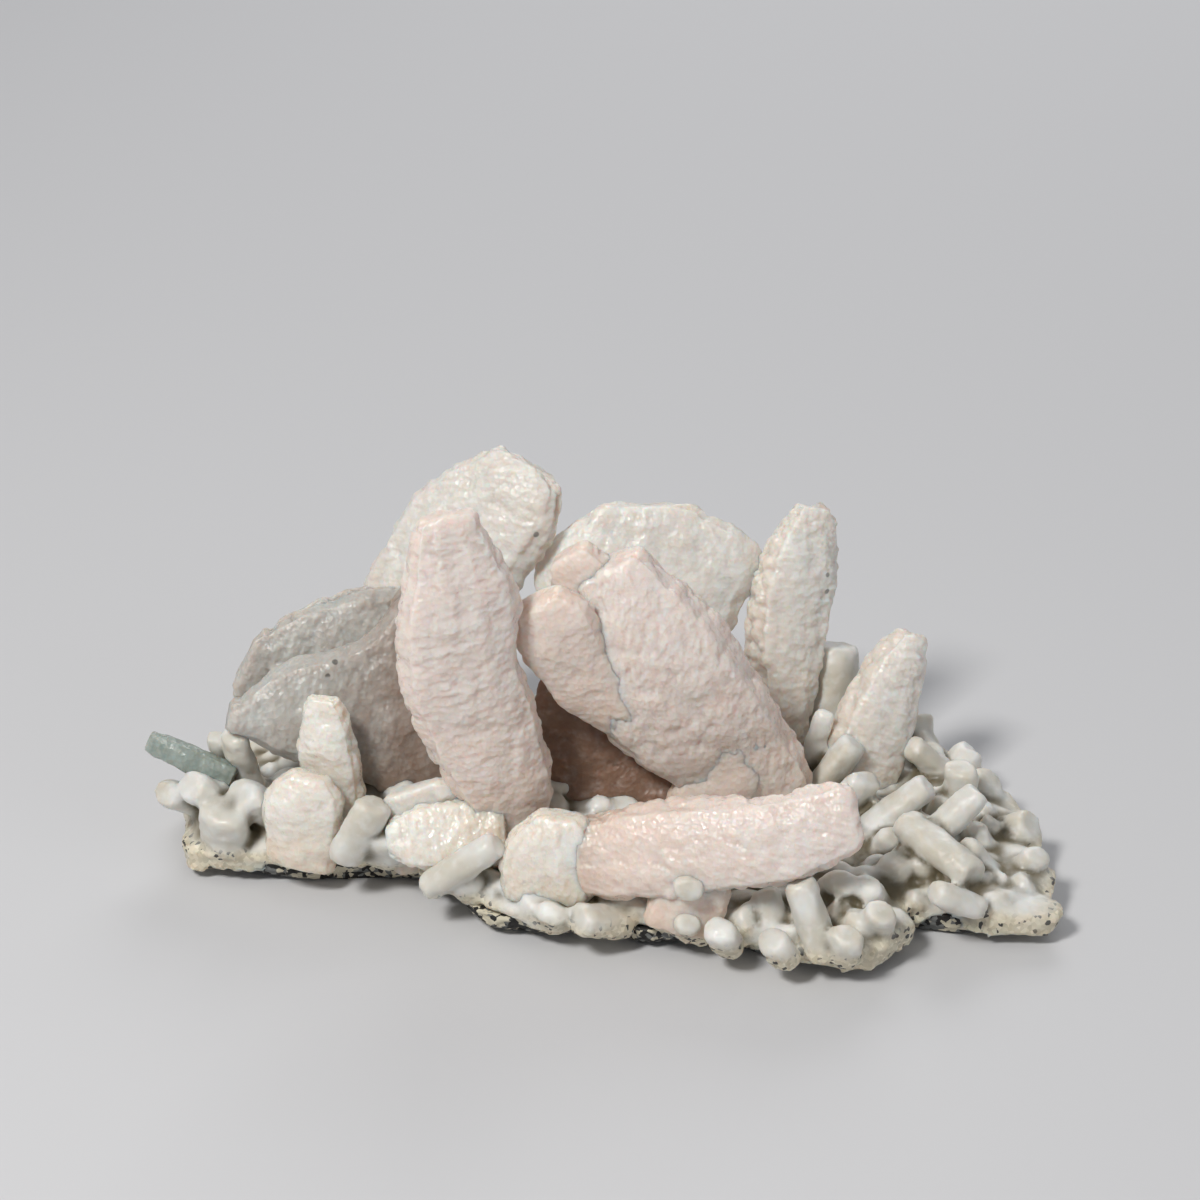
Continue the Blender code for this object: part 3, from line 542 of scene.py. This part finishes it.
def loft(made, spacing, blunt=3.6, cap=0.075, softness=0.011):
    """The grid of a blade, the share of its length at each ring, and the section's own coordinates.

    A ring lies at root + (tip - root) s + 4 s (1 - s) bow, is (right - left) / 2 off the spine and has the
    section's shape. Widths and thickness shrink by (1 - t^blunt)^(1/blunt) over the last `cap` of the length.
    """
    root, tip, bow = made["root"], made["tip"], made["bow"]
    length = np.linalg.norm(tip - root)
    girth = 2.0 * (made["left"].max() + made["right"].max() + made["thick"].sum() * 0.7)
    rings = int(length / spacing * 1.15)
    around = int(girth / spacing)
    even = np.linspace(0.0, 1.0, rings + 2)[1:-1]
    share = 0.7 * even + 0.3 * (0.5 - 0.5 * np.cos(math.pi * even))
    section = softened_section(around, softness)
    left = through(np.minimum(share, 0.96), STATIONS, made["left"])
    right = through(np.minimum(share, 0.96), STATIONS, made["right"])
    toward_tip = np.clip((share - (1.0 - cap)) / cap, 0.0, 1.0)
    toward_root = np.clip((0.04 - share) / 0.04, 0.0, 1.0)
    close = (1.0 - toward_tip**blunt) ** (1.0 / blunt) * (1.0 - toward_root**2) ** 0.5
    slimming = 1.0 - 0.5 * np.maximum(0.0, (share - 0.55) / 0.45) ** 2
    front, back = (made["thick"][k] * slimming * close for k in (0, 1))
    along = unit(tip - root + 4.0 * (1.0 - 2.0 * share)[:, None] * bow)
    across = unit(np.cross(along, made["faces"]))
    outward = np.cross(across, along)
    middle = root + (tip - root) * share[:, None] + (4.0 * share * (1.0 - share))[:, None] * bow
    sideways = ((right - left) / 2.0)[:, None] + ((left + right) / 2.0 * close)[:, None] * section[:, 0]
    depth = np.where(section[:, 1] > 0, front[:, None], back[:, None]) * section[:, 1]
    grid = middle[:, None] + sideways[..., None] * across[:, None] + depth[..., None] * outward[:, None]
    return grid, share, section


grid, share, section = loft(BLADES["tall_front_blade"], 0.5)
print("a loft of", grid.shape[0], "rings of", grid.shape[1], "points")

# %% [markdown]
# ## The skin of a blade
# The broad faces carry ripples: thousands of small stepped crystal ends, each a little tilted, which catch
# the light one by one. The rims are smoother but scalloped, as if nibbled. Below both lie slow swellings.
# All of it moves the points along their normals, so it shows in the outline and not only in the shading.
# The marks for the finish come from the same numbers and paint shade into the colour: warm shade at root and
# rim, shade in the ripples' valleys, pale on the crests.

# %% Displace a blade


def own_axes(made, turn):
    """Rows: across the blade, along it (both turned in the face by `turn` degrees) and out of its face."""
    along = unit(made["tip"] - made["root"])
    across = unit(np.cross(along, made["faces"]))
    outward = np.cross(across, along)
    c, s = math.cos(math.radians(turn)), math.sin(math.radians(turn))
    return np.stack([c * across + s * along, c * along - s * across, outward])


def skin(made, spacing, seed, ripple=0.3, ripple_size=(2.6, 1.15, 2.0), turn=0.0, scallop=0.5,
         scallop_size=3.6, swell=0.6, plates=0.45, plate_size=6.0, root_warm_shade=0.6, rim_warm_shade=0.35, **shape):
    """The displaced shell of a blade and its marks."""
    grid, share, section = loft(made, spacing, **shape)
    rings, around, _ = grid.shape
    points = grid.reshape(-1, 3)
    axes = own_axes(made, turn)
    normals = grid_normals(grid).reshape(-1, 3)
    own = points @ axes.T
    facing = np.abs(normals @ axes[2])
    face = step_up(facing, 0.70, 0.93)
    rim = 1.0 - step_up(facing, 0.25, 0.75)
    broad = swell * rough(points, 11.0, seed, 2) + plates * facets(points, plate_size, seed + 5, 0.0, 14.0)
    large = facets(own, np.array(ripple_size), seed + 7, 0.45, 11.0)
    small = facets(own, np.array(ripple_size) * 0.5, seed + 8, 0.4, 10.0)
    gate = 0.55 + 0.45 * step_up(noise(points, 7.0, seed + 9), -0.5, 0.4)
    ripples = (large + 0.45 * small) * gate
    nibbles = facets(points, scallop_size, seed + 11, 2.2, 12.0)
    nibbles += 0.35 * facets(points, scallop_size * 0.45, seed + 12, 2.0, 12.0)
    height = broad + ripple * ripples * (0.12 + 0.88 * face)
    height += scallop * (nibbles + 0.25) * (0.25 + 0.75 * rim)
    fade = np.repeat(step_up(share, 0.0, 0.05), around)
    moved = points + normals * (height * fade)[:, None]
    root_share = 1.0 - step_up(np.repeat(share, around), 0.0, 0.75)
    # Painted warm shade: warmer and darker towards the root and along the rims.
    warm_shade_and_tone = root_warm_shade * root_share + rim_warm_shade * rim + 0.12
    # The ripples' heights, which the finish uses to paint shade into their valleys.
    relief = np.clip(ripples * 1.6 * face, -1.0, 1.0)
    # Painted shade: darker at the root, where the blade meets the crust.
    painted_shade = 0.35 * (1.0 - step_up(np.repeat(share, around), 0.02, 0.16))
    marks = {"warm_shade_and_tone": warm_shade_and_tone, "relief": relief, "painted_shade": painted_shade}
    marks = {key: np.concatenate([values, values[[0, -1]]]) for key, values in marks.items()}
    return *shell(moved.reshape(rings, around, 3)), marks


LOOKS = {
    "tall_front_blade": (PINK, "tall_front_blade", "pink_calcite", 0.27, dict(ripple=0.30, turn=-8.0)),
    "great_blade": (PINK, "great_blade", "pink_calcite", 0.30, dict(ripple=0.30, turn=55.0)),
    "great_blade_shoulder": (PEACH, "great_blade", "pink_calcite", 0.32, dict(ripple=0.10)),
    "great_blade_corner": (PEACH, "great_blade", "pink_calcite", 0.32, dict(ripple=0.10)),
    "great_blade_foot": (PEACH, "great_blade", "pink_calcite", 0.40, dict(ripple=0.08)),
    "shaded_blade": (SHADED, "shaded_blade", "pink_calcite", 0.45, dict(ripple=0.10)),
    "high_back_blade": (MILKY, "high_back_blade", "white_calcite", 0.44,
                        dict(ripple=0.30, turn=30.0, scallop=0.8)),
    "left_arched_blade": (GREYED, "left_arched_blade", "white_calcite", 0.44,
                          dict(ripple=0.22, scallop=0.8, root_warm_shade=0.3, rim_warm_shade=0.1)),
    # The wedge's root half is painted in a dark warm shade, for its broad face that lies in shadow.
    "left_wedge_blade": (GREYED, "left_wedge_blade", "white_calcite", 0.42,
                         dict(ripple=0.18, scallop=0.3, root_warm_shade=1.0, rim_warm_shade=0.0)),
    "back_fan_blade": (MILKY, "back_fan_blade", "white_calcite", 0.45,
                       dict(ripple=0.25, turn=85.0, scallop=0.7)),
    "back_spindle": (MILKY, "back_spindle", "white_calcite", 0.36,
                     dict(ripple=0.30, scallop=0.7, scallop_size=2.6)),
    "right_spindle": (MILKY, "right_spindle", "white_calcite", 0.36, dict(ripple=0.25, scallop=0.5)),
    "low_front_blade": (PINK, "low_front_blade", "pink_calcite", 0.30, dict(ripple=0.22, turn=70.0)),
    "low_front_foot": (PEACH, "low_front_blade", "pink_calcite", 0.35, dict(ripple=0.08)),
    "front_broken_blade": (PEARL, "front_broken_blade", "white_calcite", 0.30, dict(ripple=0.2, turn=80.0)),
    "upright_crystal": (PEARL, "upright_crystal", "white_calcite", 0.27,
                        dict(ripple=0.12, scallop=0.5, scallop_size=3.0)),
    "pearly_chunk": (PEARL, "pearly_chunk", "white_calcite", 0.30, dict(ripple=0.25, scallop=0.4)),
    "low_arched_blade": (MILKY, "low_arched_blade", "white_calcite", 0.35, dict(ripple=0.15, scallop=0.5)),
    "low_scaly_blade": (PEARL, "low_scaly_blade", "white_calcite", 0.30,
                        dict(ripple=0.25, scallop=0.6, scallop_size=2.4)),
    "grey_prism": (GREY_GLASS, "grey_prism", "grey_calcite", 0.30,
                   dict(ripple=0.05, scallop=0.15, swell=0.2, plates=0.4)),
}
for order, (name, (finish, node, slot, spacing, looks)) in enumerate(LOOKS.items()):
    points, quads, fans, marks = skin(BLADES[name], spacing, 40 + 13 * order, **looks)
    finish_piece(mesh_object(f"{name}_surface", points, quads, fans, marks), finish, node)

# %% [markdown]
# ## The plate
# The crust is a sheet that covers the rock and hangs past its edge, and the rock is a slab with a flat foot.
# Both are rings round the plate's middle that follow one outline, so a ring's place is only a share of the
# way to the rim and a height.

# %% The outline and the height of the crust
RIM = np.array([
    (-71.0, 14.0), (-69.0, 3.0), (-66.0, -6.0), (-57.0, -8.5), (-46.0, -8.0), (-36.0, -8.5),
    (-29.0, -12.5), (-21.0, -19.5), (-14.0, -27.0), (-2.0, -27.5), (3.0, -25.0), (9.0, -30.0),
    (25.0, -32.5), (42.0, -37.0), (50.0, -31.0), (56.0, -25.0), (66.0, -27.5), (73.8, -19.5),
    (73.5, -6.0), (71.5, 6.0), (66.0, 18.0), (59.5, 29.0), (47.0, 36.0), (28.0, 39.0),
    (8.0, 40.0), (-12.0, 38.0), (-32.0, 38.5), (-50.0, 33.0), (-62.0, 25.0),
])
RIM_CENTRE = np.array([0.0, 2.0])
CRUST_FLOOR = 4.6
CRUST_LEVEL = 7.2
LIP_HEIGHT = 1.2
LIP_HANG = 2.6
BARE_ROCK_AT = np.array([(-19.0, -21.5), (5.0, -26.0)])
BARE_ROCK_SPREAD = 8.0


def rim_points(steps):
    """The outline about the plate's middle: its distance, read smoothly at equal turns."""
    rim = RIM - RIM_CENTRE
    turns = np.unwrap(np.arctan2(rim[:, 1], rim[:, 0]))
    reach = np.hypot(rim[:, 0], rim[:, 1])
    turns = np.concatenate([turns - math.tau, turns, turns + math.tau])
    at = turns[len(RIM)] + np.arange(steps) * math.tau / steps
    read = through(at, turns, np.tile(reach, 3))
    return np.stack([np.cos(at) * read, np.sin(at) * read], axis=1)


def crust_height(x, y):
    """The top of the crust in mm: level, rising to the back and to a mound under the back-left crystals."""
    mound = 9.0 * np.exp(-(((x + 21.0) / 22.0) ** 2) - ((y - 9.0) / 13.0) ** 2)
    waves = 0.5 * np.sin(0.31 * x + 0.17 * y) + 0.5 * np.sin(0.23 * y - 0.11 * x + 1.0)
    return CRUST_LEVEL + mound + 3.0 * np.clip(y / 35.0, -0.1, 1.0) + waves


def bare_rock(flat):
    """How bare the rock is at places of the plan: a bell of 8 mm about each bare place."""
    offsets = flat[..., None, :] - BARE_ROCK_AT
    return np.exp(-(offsets**2).sum(axis=-1) / BARE_ROCK_SPREAD**2).max(axis=-1)


print("plate:", np.ptp(rim_points(360), axis=0).round(1), "mm")

# %% [markdown]
# ## The small crystals
# Hundreds of blunt six-sided calcite crystals cover the plate, waxy and half sunk in one another. Thirty of
# them stand out, and have places of their own in the table. The others are scattered over a jittered grid,
# which leaves no two in one place and no bare ground.

# %% Every small crystal
STUBS = np.array([
    (-41.5, -13.5, 8.0, -35.5, -14.0, 19.5, 3.6, 0.8), (-28.0, -21.0, 7.0, -15.5, -21.5, 16.5, 3.3, 0.8),
    (-36.0, -9.0, 6.0, -34.5, -14.5, 14.0, 5.5, 0.5), (-61.5, -4.0, 5.0, -61.0, -8.5, 15.0, 4.4, 0.8),
    (-52.0, 0.0, 8.0, -58.5, -6.5, 17.0, 3.8, 0.8), (-59.0, 3.0, 8.0, -67.0, -5.0, 17.5, 3.6, 0.8),
    (-63.0, 6.0, 6.0, -71.5, -3.0, 15.0, 3.2, 0.8), (-57.0, 6.0, 8.0, -60.0, 0.0, 24.5, 2.8, 0.8),
    (-60.0, 9.0, 8.0, -63.5, 4.0, 22.0, 2.2, 0.8), (36.0, 8.0, 7.0, 43.5, 9.0, 18.0, 4.6, 0.6),
    (39.0, 2.0, 7.0, 45.0, 0.0, 16.0, 4.0, 0.6), (61.0, 14.0, 7.0, 52.5, 12.0, 15.5, 2.9, 0.8),
    (61.0, 5.0, 6.0, 60.5, 3.0, 16.5, 3.2, 0.8), (44.0, -3.0, 7.0, 55.0, -2.0, 16.0, 4.2, 0.6),
    (50.0, -14.0, 8.0, 62.5, -8.5, 18.5, 3.2, 0.8), (49.5, -11.5, 14.5, 60.5, -24.0, 11.5, 3.7, 0.8),
    (61.5, -26.5, 7.0, 53.0, -29.0, 12.0, 2.8, 0.8), (64.0, -15.0, 7.0, 59.5, -17.0, 13.5, 2.4, 0.8),
    (44.5, -22.0, 6.0, 42.5, -28.5, 12.5, 3.0, 0.8), (37.5, -20.0, 6.0, 39.0, -28.5, 13.5, 3.0, 0.8),
    (44.0, -31.0, 6.0, 44.5, -35.5, 12.5, 3.0, 0.8), (36.0, -37.0, 4.0, 31.5, -33.0, 17.0, 3.6, 0.8),
    (38.5, -36.5, 4.0, 39.0, -40.0, 11.0, 3.0, 0.8), (30.0, -37.0, 4.0, 27.0, -39.0, 9.5, 3.2, 0.8),
    (21.0, -33.0, 4.0, 19.0, -37.0, 10.0, 3.2, 0.8), (5.0, -26.0, 4.0, -3.5, -31.0, 8.0, 3.6, 0.8),
    (39.5, 25.0, 8.0, 41.5, 30.0, 25.5, 5.4, 0.8), (35.5, 14.0, 8.0, 38.5, 12.5, 22.0, 2.0, 0.8),
    (14.5, -30.5, 14.5, 14.2, -34.5, 15.5, 2.6, 0.8), (55.0, 22.0, 7.0, 55.5, 26.5, 13.5, 3.2, 0.8),
])  # root, tip, radius and flatness, in plan mm
GRID_STEP = 4.5
chances = np.random.default_rng(77)
columns = np.arange(-74.0, 75.0, GRID_STEP)
rows = np.arange(-40.0, 42.0, GRID_STEP * 0.87)
across_plate, along_plate = np.meshgrid(columns, rows)
across_plate[1::2] += GRID_STEP / 2.0
spots = np.stack([across_plate.ravel(), along_plate.ravel()], axis=1)
spots += chances.uniform(-1.5, 1.5, spots.shape)
rim = rim_points(360)
rim_turns = np.unwrap(np.arctan2(rim[:, 1], rim[:, 0]))
spot_turns = np.arctan2(*(spots - RIM_CENTRE).T[::-1])
reach = np.interp(spot_turns, rim_turns, np.hypot(*rim.T), period=math.tau)
rim_share = np.hypot(*(spots - RIM_CENTRE).T) / reach
kept = rim_share < 0.93
spots, rim_share = spots[kept], rim_share[kept]
lean = chances.uniform(-0.8, 0.8, (len(spots), 2))
lean += 0.5 * unit(spots - RIM_CENTRE) * step_up(rim_share, 0.6, 1.0)[:, None]
length = chances.uniform(3.6, 7.6, len(spots))
height = crust_height(*spots.T) - 2.6 - 1.6 * step_up(rim_share, 0.75, 0.95)
root = np.column_stack([spots, np.maximum(height, CRUST_FLOOR + 0.2)])
tip = root + unit(np.column_stack([lean, np.ones(len(spots))])) * length[:, None]
radius = chances.uniform(2.0, 3.5, len(spots))
scattered = np.column_stack([root, tip, radius, chances.uniform(0.7, 1.0, len(spots))])
stubs = np.concatenate([STUBS, scattered])
print(len(STUBS), "small crystals by hand and", len(scattered), "scattered")

# %% [markdown]
# ## One crust
# The small crystals are grown together with the sheet below them, so the crust has to be one skin. A Boolean
# could join them. A voxel Remesh is used instead, because it also rounds the joints, as the waxy growth of
# calcite does. After it, the skin gets its fine relief, and each point's depth below its smoothed
# surroundings says where the crevices are, which get a painted olive-brown shade.

# %% Build the crust
STUB_RINGS = 9
STUB_AROUND = 12
VOXEL = 0.62
RIM_UNEVEN = 1.2
SHEET_RISE = 1.1  # how much the sheet has grown up round the small crystals


def stub_shells(table, turns):
    """Points and faces of all the small crystals.

    A crystal's section is a softened hexagon, radius / (sum of |cos|^10 at three turns 60 degrees
    apart)^(1/10), and along its axis, t from 0 to 1, it has the width (1 - |2t - 1|^6)^(1/6).
    """
    root, tip = table[:, :3] - PLAN_CENTRE, table[:, 3:6] - PLAN_CENTRE
    along = unit(tip - root)
    side = unit(np.cross(along, (0.3, 0.2, 0.9)))
    other = np.cross(along, side)
    at = np.arange(STUB_AROUND) * math.tau / STUB_AROUND
    t = 0.5 - 0.5 * np.cos(np.linspace(0.0, math.pi, STUB_RINGS + 2)[1:-1])
    close = (1.0 - np.abs(2.0 * t - 1.0) ** 6) ** (1.0 / 6.0)
    sides = turns[:, None, None] + np.arange(3) * math.pi / 3.0
    prism = (np.abs(np.cos(at[None, :, None] - sides)) ** 10).sum(axis=2) ** -0.1
    width = table[:, 6, None, None] * close[None, :, None] * prism[:, None, :] * 0.95
    middle = root[:, None] + (tip - root)[:, None] * t[None, :, None]
    grid = middle[:, :, None] + (width * np.cos(at))[..., None] * side[:, None, None]
    grid = grid + (width * np.sin(at) * table[:, 7, None, None])[..., None] * other[:, None, None]
    grid[..., 2] = np.maximum(grid[..., 2], CRUST_FLOOR - 1.6)
    poles = np.stack([grid[:, 0].mean(axis=1), grid[:, -1].mean(axis=1)], axis=1)
    points = np.concatenate([grid.reshape(len(table), -1, 3), poles], axis=1)
    quads, fans = ring_faces(STUB_RINGS, STUB_AROUND)
    offsets = np.arange(len(table))[:, None, None] * points.shape[1]
    return points.reshape(-1, 3), (quads + offsets).reshape(-1, 4), (fans + offsets).reshape(-1, 3)


def sheet_shell(steps):
    """The sheet: rings of the outline from the middle of its top over its hanging lip to the middle below."""
    rim = rim_points(steps)
    hangs = 1.0 - np.clip(2.5 * bare_rock(rim + RIM_CENTRE), 0.0, 1.0)
    rings = []
    for share in np.concatenate([np.linspace(0.02, 0.9, 40), [0.94, 0.97, 0.99, 1.0]]):
        flat = rim * share + RIM_CENTRE
        top = crust_height(*flat.T) + SHEET_RISE
        rounding = max(0.0, (share - 0.84) / 0.16) ** 2
        rings.append(np.column_stack([flat, top + (CRUST_FLOOR + LIP_HEIGHT - top) * rounding]))
    low = CRUST_FLOOR - LIP_HANG * hangs
    lip = ((0.985, low), (0.955, low + 0.3 * hangs))
    for share, high in (*lip, (0.94, CRUST_FLOOR), (0.5, CRUST_FLOOR), (0.02, CRUST_FLOOR)):
        rings.append(np.column_stack([rim * share + RIM_CENTRE, np.broadcast_to(high, steps)]))
    grid = np.stack(rings) - PLAN_CENTRE
    uneven = RIM_UNEVEN * rough(grid.reshape(-1, 3), 5.0, 91, 2).reshape(grid.shape[:2])
    edge = grid + uneven[..., None] * [1.0, 1.0, 0.5]
    grid = np.where(np.arange(len(rings))[:, None, None] < 46, edge, grid)
    return shell(grid)


parts = [sheet_shell(360), stub_shells(stubs, chances.uniform(0.0, math.tau, len(stubs)))]
points = np.concatenate([p[0] for p in parts])
quads = np.concatenate([parts[0][1], parts[1][1] + len(parts[0][0])])
fans = np.concatenate([parts[0][2], parts[1][2] + len(parts[0][0])])
crust = mesh_object("crust_crystals", points, quads, fans)
remesh = crust.modifiers.new("one_skin", "REMESH")
remesh.mode = "VOXEL"
remesh.voxel_size = VOXEL * MM
smooth = crust.modifiers.new("waxy", "SMOOTH")
smooth.factor = 0.5
smooth.iterations = 4
graph = bpy.context.evaluated_depsgraph_get()
skin_mesh = bpy.data.meshes.new_from_object(crust.evaluated_get(graph))
crust.modifiers.clear()
crust.data = skin_mesh
print("crust:", len(skin_mesh.vertices), "points")

# %% Give the crust its fine relief


def read_points(mesh, kind="co"):
    values = np.empty(len(mesh.vertices) * 3, np.float32)
    if kind == "co":
        mesh.vertices.foreach_get("co", values)
        return values.reshape(-1, 3).astype(float) / MM
    mesh.vertex_normals.foreach_get("vector", values)
    return values.reshape(-1, 3).astype(float)


def spread_out(mesh, values, rounds):
    """Each value becomes the mean of itself and its neighbours' mean along the edges, `rounds` times."""
    edges = np.empty(len(mesh.edges) * 2, np.int32)
    mesh.edges.foreach_get("vertices", edges)
    first, second = edges.reshape(-1, 2).T
    count = np.bincount(edges, minlength=len(values)).astype(float)[:, None]
    for _ in range(rounds):
        total = np.stack([
            np.bincount(first, values[second, k], len(values))
            + np.bincount(second, values[first, k], len(values))
            for k in range(values.shape[1])], axis=1)
        values = 0.5 * values + 0.5 * total / count
    return values


points = read_points(skin_mesh)
normals = read_points(skin_mesh, "normal")
depth_below = -((points - spread_out(skin_mesh, points, 30)) * normals).sum(axis=1)
crevice = step_up(depth_below, -0.12, 0.42)
flat = points[:, :2] + PLAN_CENTRE[:2] - RIM_CENTRE
edge_reach = np.interp(np.arctan2(flat[:, 1], flat[:, 0]), rim_turns, np.hypot(*rim.T), period=math.tau)
edge_share = np.hypot(*flat.T) / edge_reach
at_edge = step_up(edge_share, 0.94, 1.0) * (1.0 - step_up(points[:, 2], 5.6, 8.2))
at_edge = np.maximum(at_edge, (1.0 - step_up(points[:, 2], 3.6, 4.4)))
grain = facets(points, 1.5, 95, 0.5, 9.0)
relief = 0.14 * rough(points, 2.4, 92, 2) + 0.30 * facets(points, 2.8, 93, 0.2, 14.0)
relief = relief * (1.0 - at_edge) + 0.42 * grain * at_edge
top_side = step_up(points[:, 2], CRUST_FLOOR - 1.5, CRUST_FLOOR + 0.6)
points = points + normals * (relief * np.maximum(top_side, at_edge))[:, None]
skin_mesh.vertices.foreach_set("co", (points * MM).astype(np.float32).ravel())
# Painted shade marks: the crevices get a warm shade and a dark olive-brown shade; the edge mark is the
# crust's real cream rim.
for mark, values in {
    "warm_shade_and_tone": 0.22 + 0.5 * crevice, "relief": np.clip(relief * 3.0, -1.0, 1.0),
    "painted_shade": crevice, "edge": at_edge,
}.items():
    made = skin_mesh.attributes.new(mark, "FLOAT", "POINT")
    made.data.foreach_set("value", values.astype(np.float32))
skin_mesh.shade_smooth()
print("crevices cover", round(float((crevice > 0.5).mean()), 2), "of the crust")

# %% [markdown]
# ## The finish of the crust and the rock
# The crust is the same milky calcite with an olive-brown shade painted into its crevices. Along its broken
# edge it is cream and granular with black grains. The rock is a black and grey granular rock with cream
# grains: each cell of a Voronoi texture is one grain, and its random colour picks the mineral.

# %% Build and give these finishes


def crust_finish():
    graph = Graph("crust_calcite")
    cloud = graph.noise(120.0, 3.0, 0.55)
    colour = graph.mix(graph.spread(cloud, 0.38, 0.62), (0.74, 0.74, 0.71), (0.63, 0.60, 0.52))
    veil = graph.spread(graph.noise(420.0, 2.0), 0.55, 0.72, 0.0, 0.4)
    colour = graph.mix(veil, colour, (0.86, 0.86, 0.85))
    # Painted shade: the crevices are darkened olive-brown.
    colour = graph.mix(graph.mark("painted_shade"), colour, (0.17, 0.14, 0.085))
    grains = graph.cells(1500.0).outputs["Color"]
    value = graph.add("ShaderNodeSeparateColor", {"Color": grains}).outputs[0]
    cream = graph.mix(graph.spread(value, 0.0, 0.8), (0.78, 0.72, 0.58), (0.55, 0.50, 0.38))
    speckled = graph.mix(graph.spread(value, 0.92, 0.94), cream, (0.05, 0.045, 0.04))
    colour = graph.mix(graph.mark("edge"), colour, speckled)
    graph.set("Base Color", colour)
    graph.set("Roughness", graph.spread(graph.noise(900.0, 2.0), 0.35, 0.65, 0.32, 0.55))
    graph.set("Normal", graph.bump(graph.noise(1400.0, 3.0, 0.6), 0.06 * MM))
    graph.set("Subsurface Weight", 1.0)
    graph.set("Subsurface Radius", (1.0, 0.75, 0.6))
    graph.set("Subsurface Scale", 1.5 * MM)
    graph.set("IOR", 1.55)
    return graph.material


def rock_finish():
    graph = Graph("granular_rock")
    grains = graph.cells(1100.0).outputs["Color"]
    value = graph.add("ShaderNodeSeparateColor", {"Color": grains}).outputs[0]
    patches = graph.spread(graph.noise(140.0, 3.0), 0.4, 0.62, 0.0, 0.32)
    value = graph.math("ADD", value, patches)
    colour = graph.mix(graph.spread(value, 0.62, 0.66), (0.012, 0.011, 0.010), (0.16, 0.165, 0.16))
    colour = graph.mix(graph.spread(value, 0.88, 0.92), colour, (0.62, 0.57, 0.44))
    graph.set("Base Color", colour)
    graph.set("Roughness", graph.spread(graph.noise(1200.0, 2.0), 0.3, 0.7, 0.45, 0.85))
    graph.set("Normal", graph.bump(graph.noise(1600.0, 3.0, 0.6), 0.1 * MM))
    return graph.material


finish_piece(crust, crust_finish(), "crust")

# %% Build the rock
ROCK_PROFILE = (
    (0.02, 4.25), (0.5, 4.25), (0.93, 4.25), (0.925, 3.2), (0.91, 2.2), (0.85, 0.7), (0.76, 0.0), (0.02, 0.0),
)
ROCK_STEPS = 600
ROCK_RINGS = 64


def rock_shell():
    """The slab: the outline at shares and heights read evenly along one profile, with granular sides."""
    profile = np.array(ROCK_PROFILE) * (60.0, 1.0)
    walked = np.concatenate([[0.0], np.cumsum(np.linalg.norm(np.diff(profile, axis=0), axis=1))])
    near = np.concatenate([
        np.linspace(0.0, walked[1], 4)[:-1], np.linspace(walked[1], walked[2], 12)[:-1],
        np.linspace(walked[2], walked[6], ROCK_RINGS - 22), np.linspace(walked[6], walked[7], 8)[1:]])
    share, high = (np.interp(near, walked, profile[:, k]) for k in (0, 1))
    share = share / 60.0
    rim = rim_points(ROCK_STEPS)
    bulge = 0.09 * np.clip((bare_rock(rim + RIM_CENTRE) - 0.4) / 0.6, 0.0, 1.0)
    sides = step_up(share, 0.72, 0.84)[:, None]
    flat = rim[None] * (share[:, None] + bulge * sides)[..., None] + RIM_CENTRE
    upright = np.broadcast_to(high[:, None, None], flat.shape[:2] + (1,))
    grid = np.concatenate([flat, upright], axis=2) - PLAN_CENTRE
    rings, around, _ = grid.shape
    normals = grid_normals(grid).reshape(-1, 3)
    points = grid.reshape(-1, 3)
    height = 0.55 * facets(points, 2.6, 61, 0.4, 10.0) + 0.3 * facets(points, 1.2, 62, 0.4, 10.0)
    moved = points + normals * (height * np.repeat(sides[:, 0] * (high < 4.2), around))[:, None]
    moved[:, 2] = np.maximum(moved[:, 2], 0.0)
    return shell(moved.reshape(rings, around, 3))


finish_piece(mesh_object("rock_slab", *rock_shell()), rock_finish(), "rock")
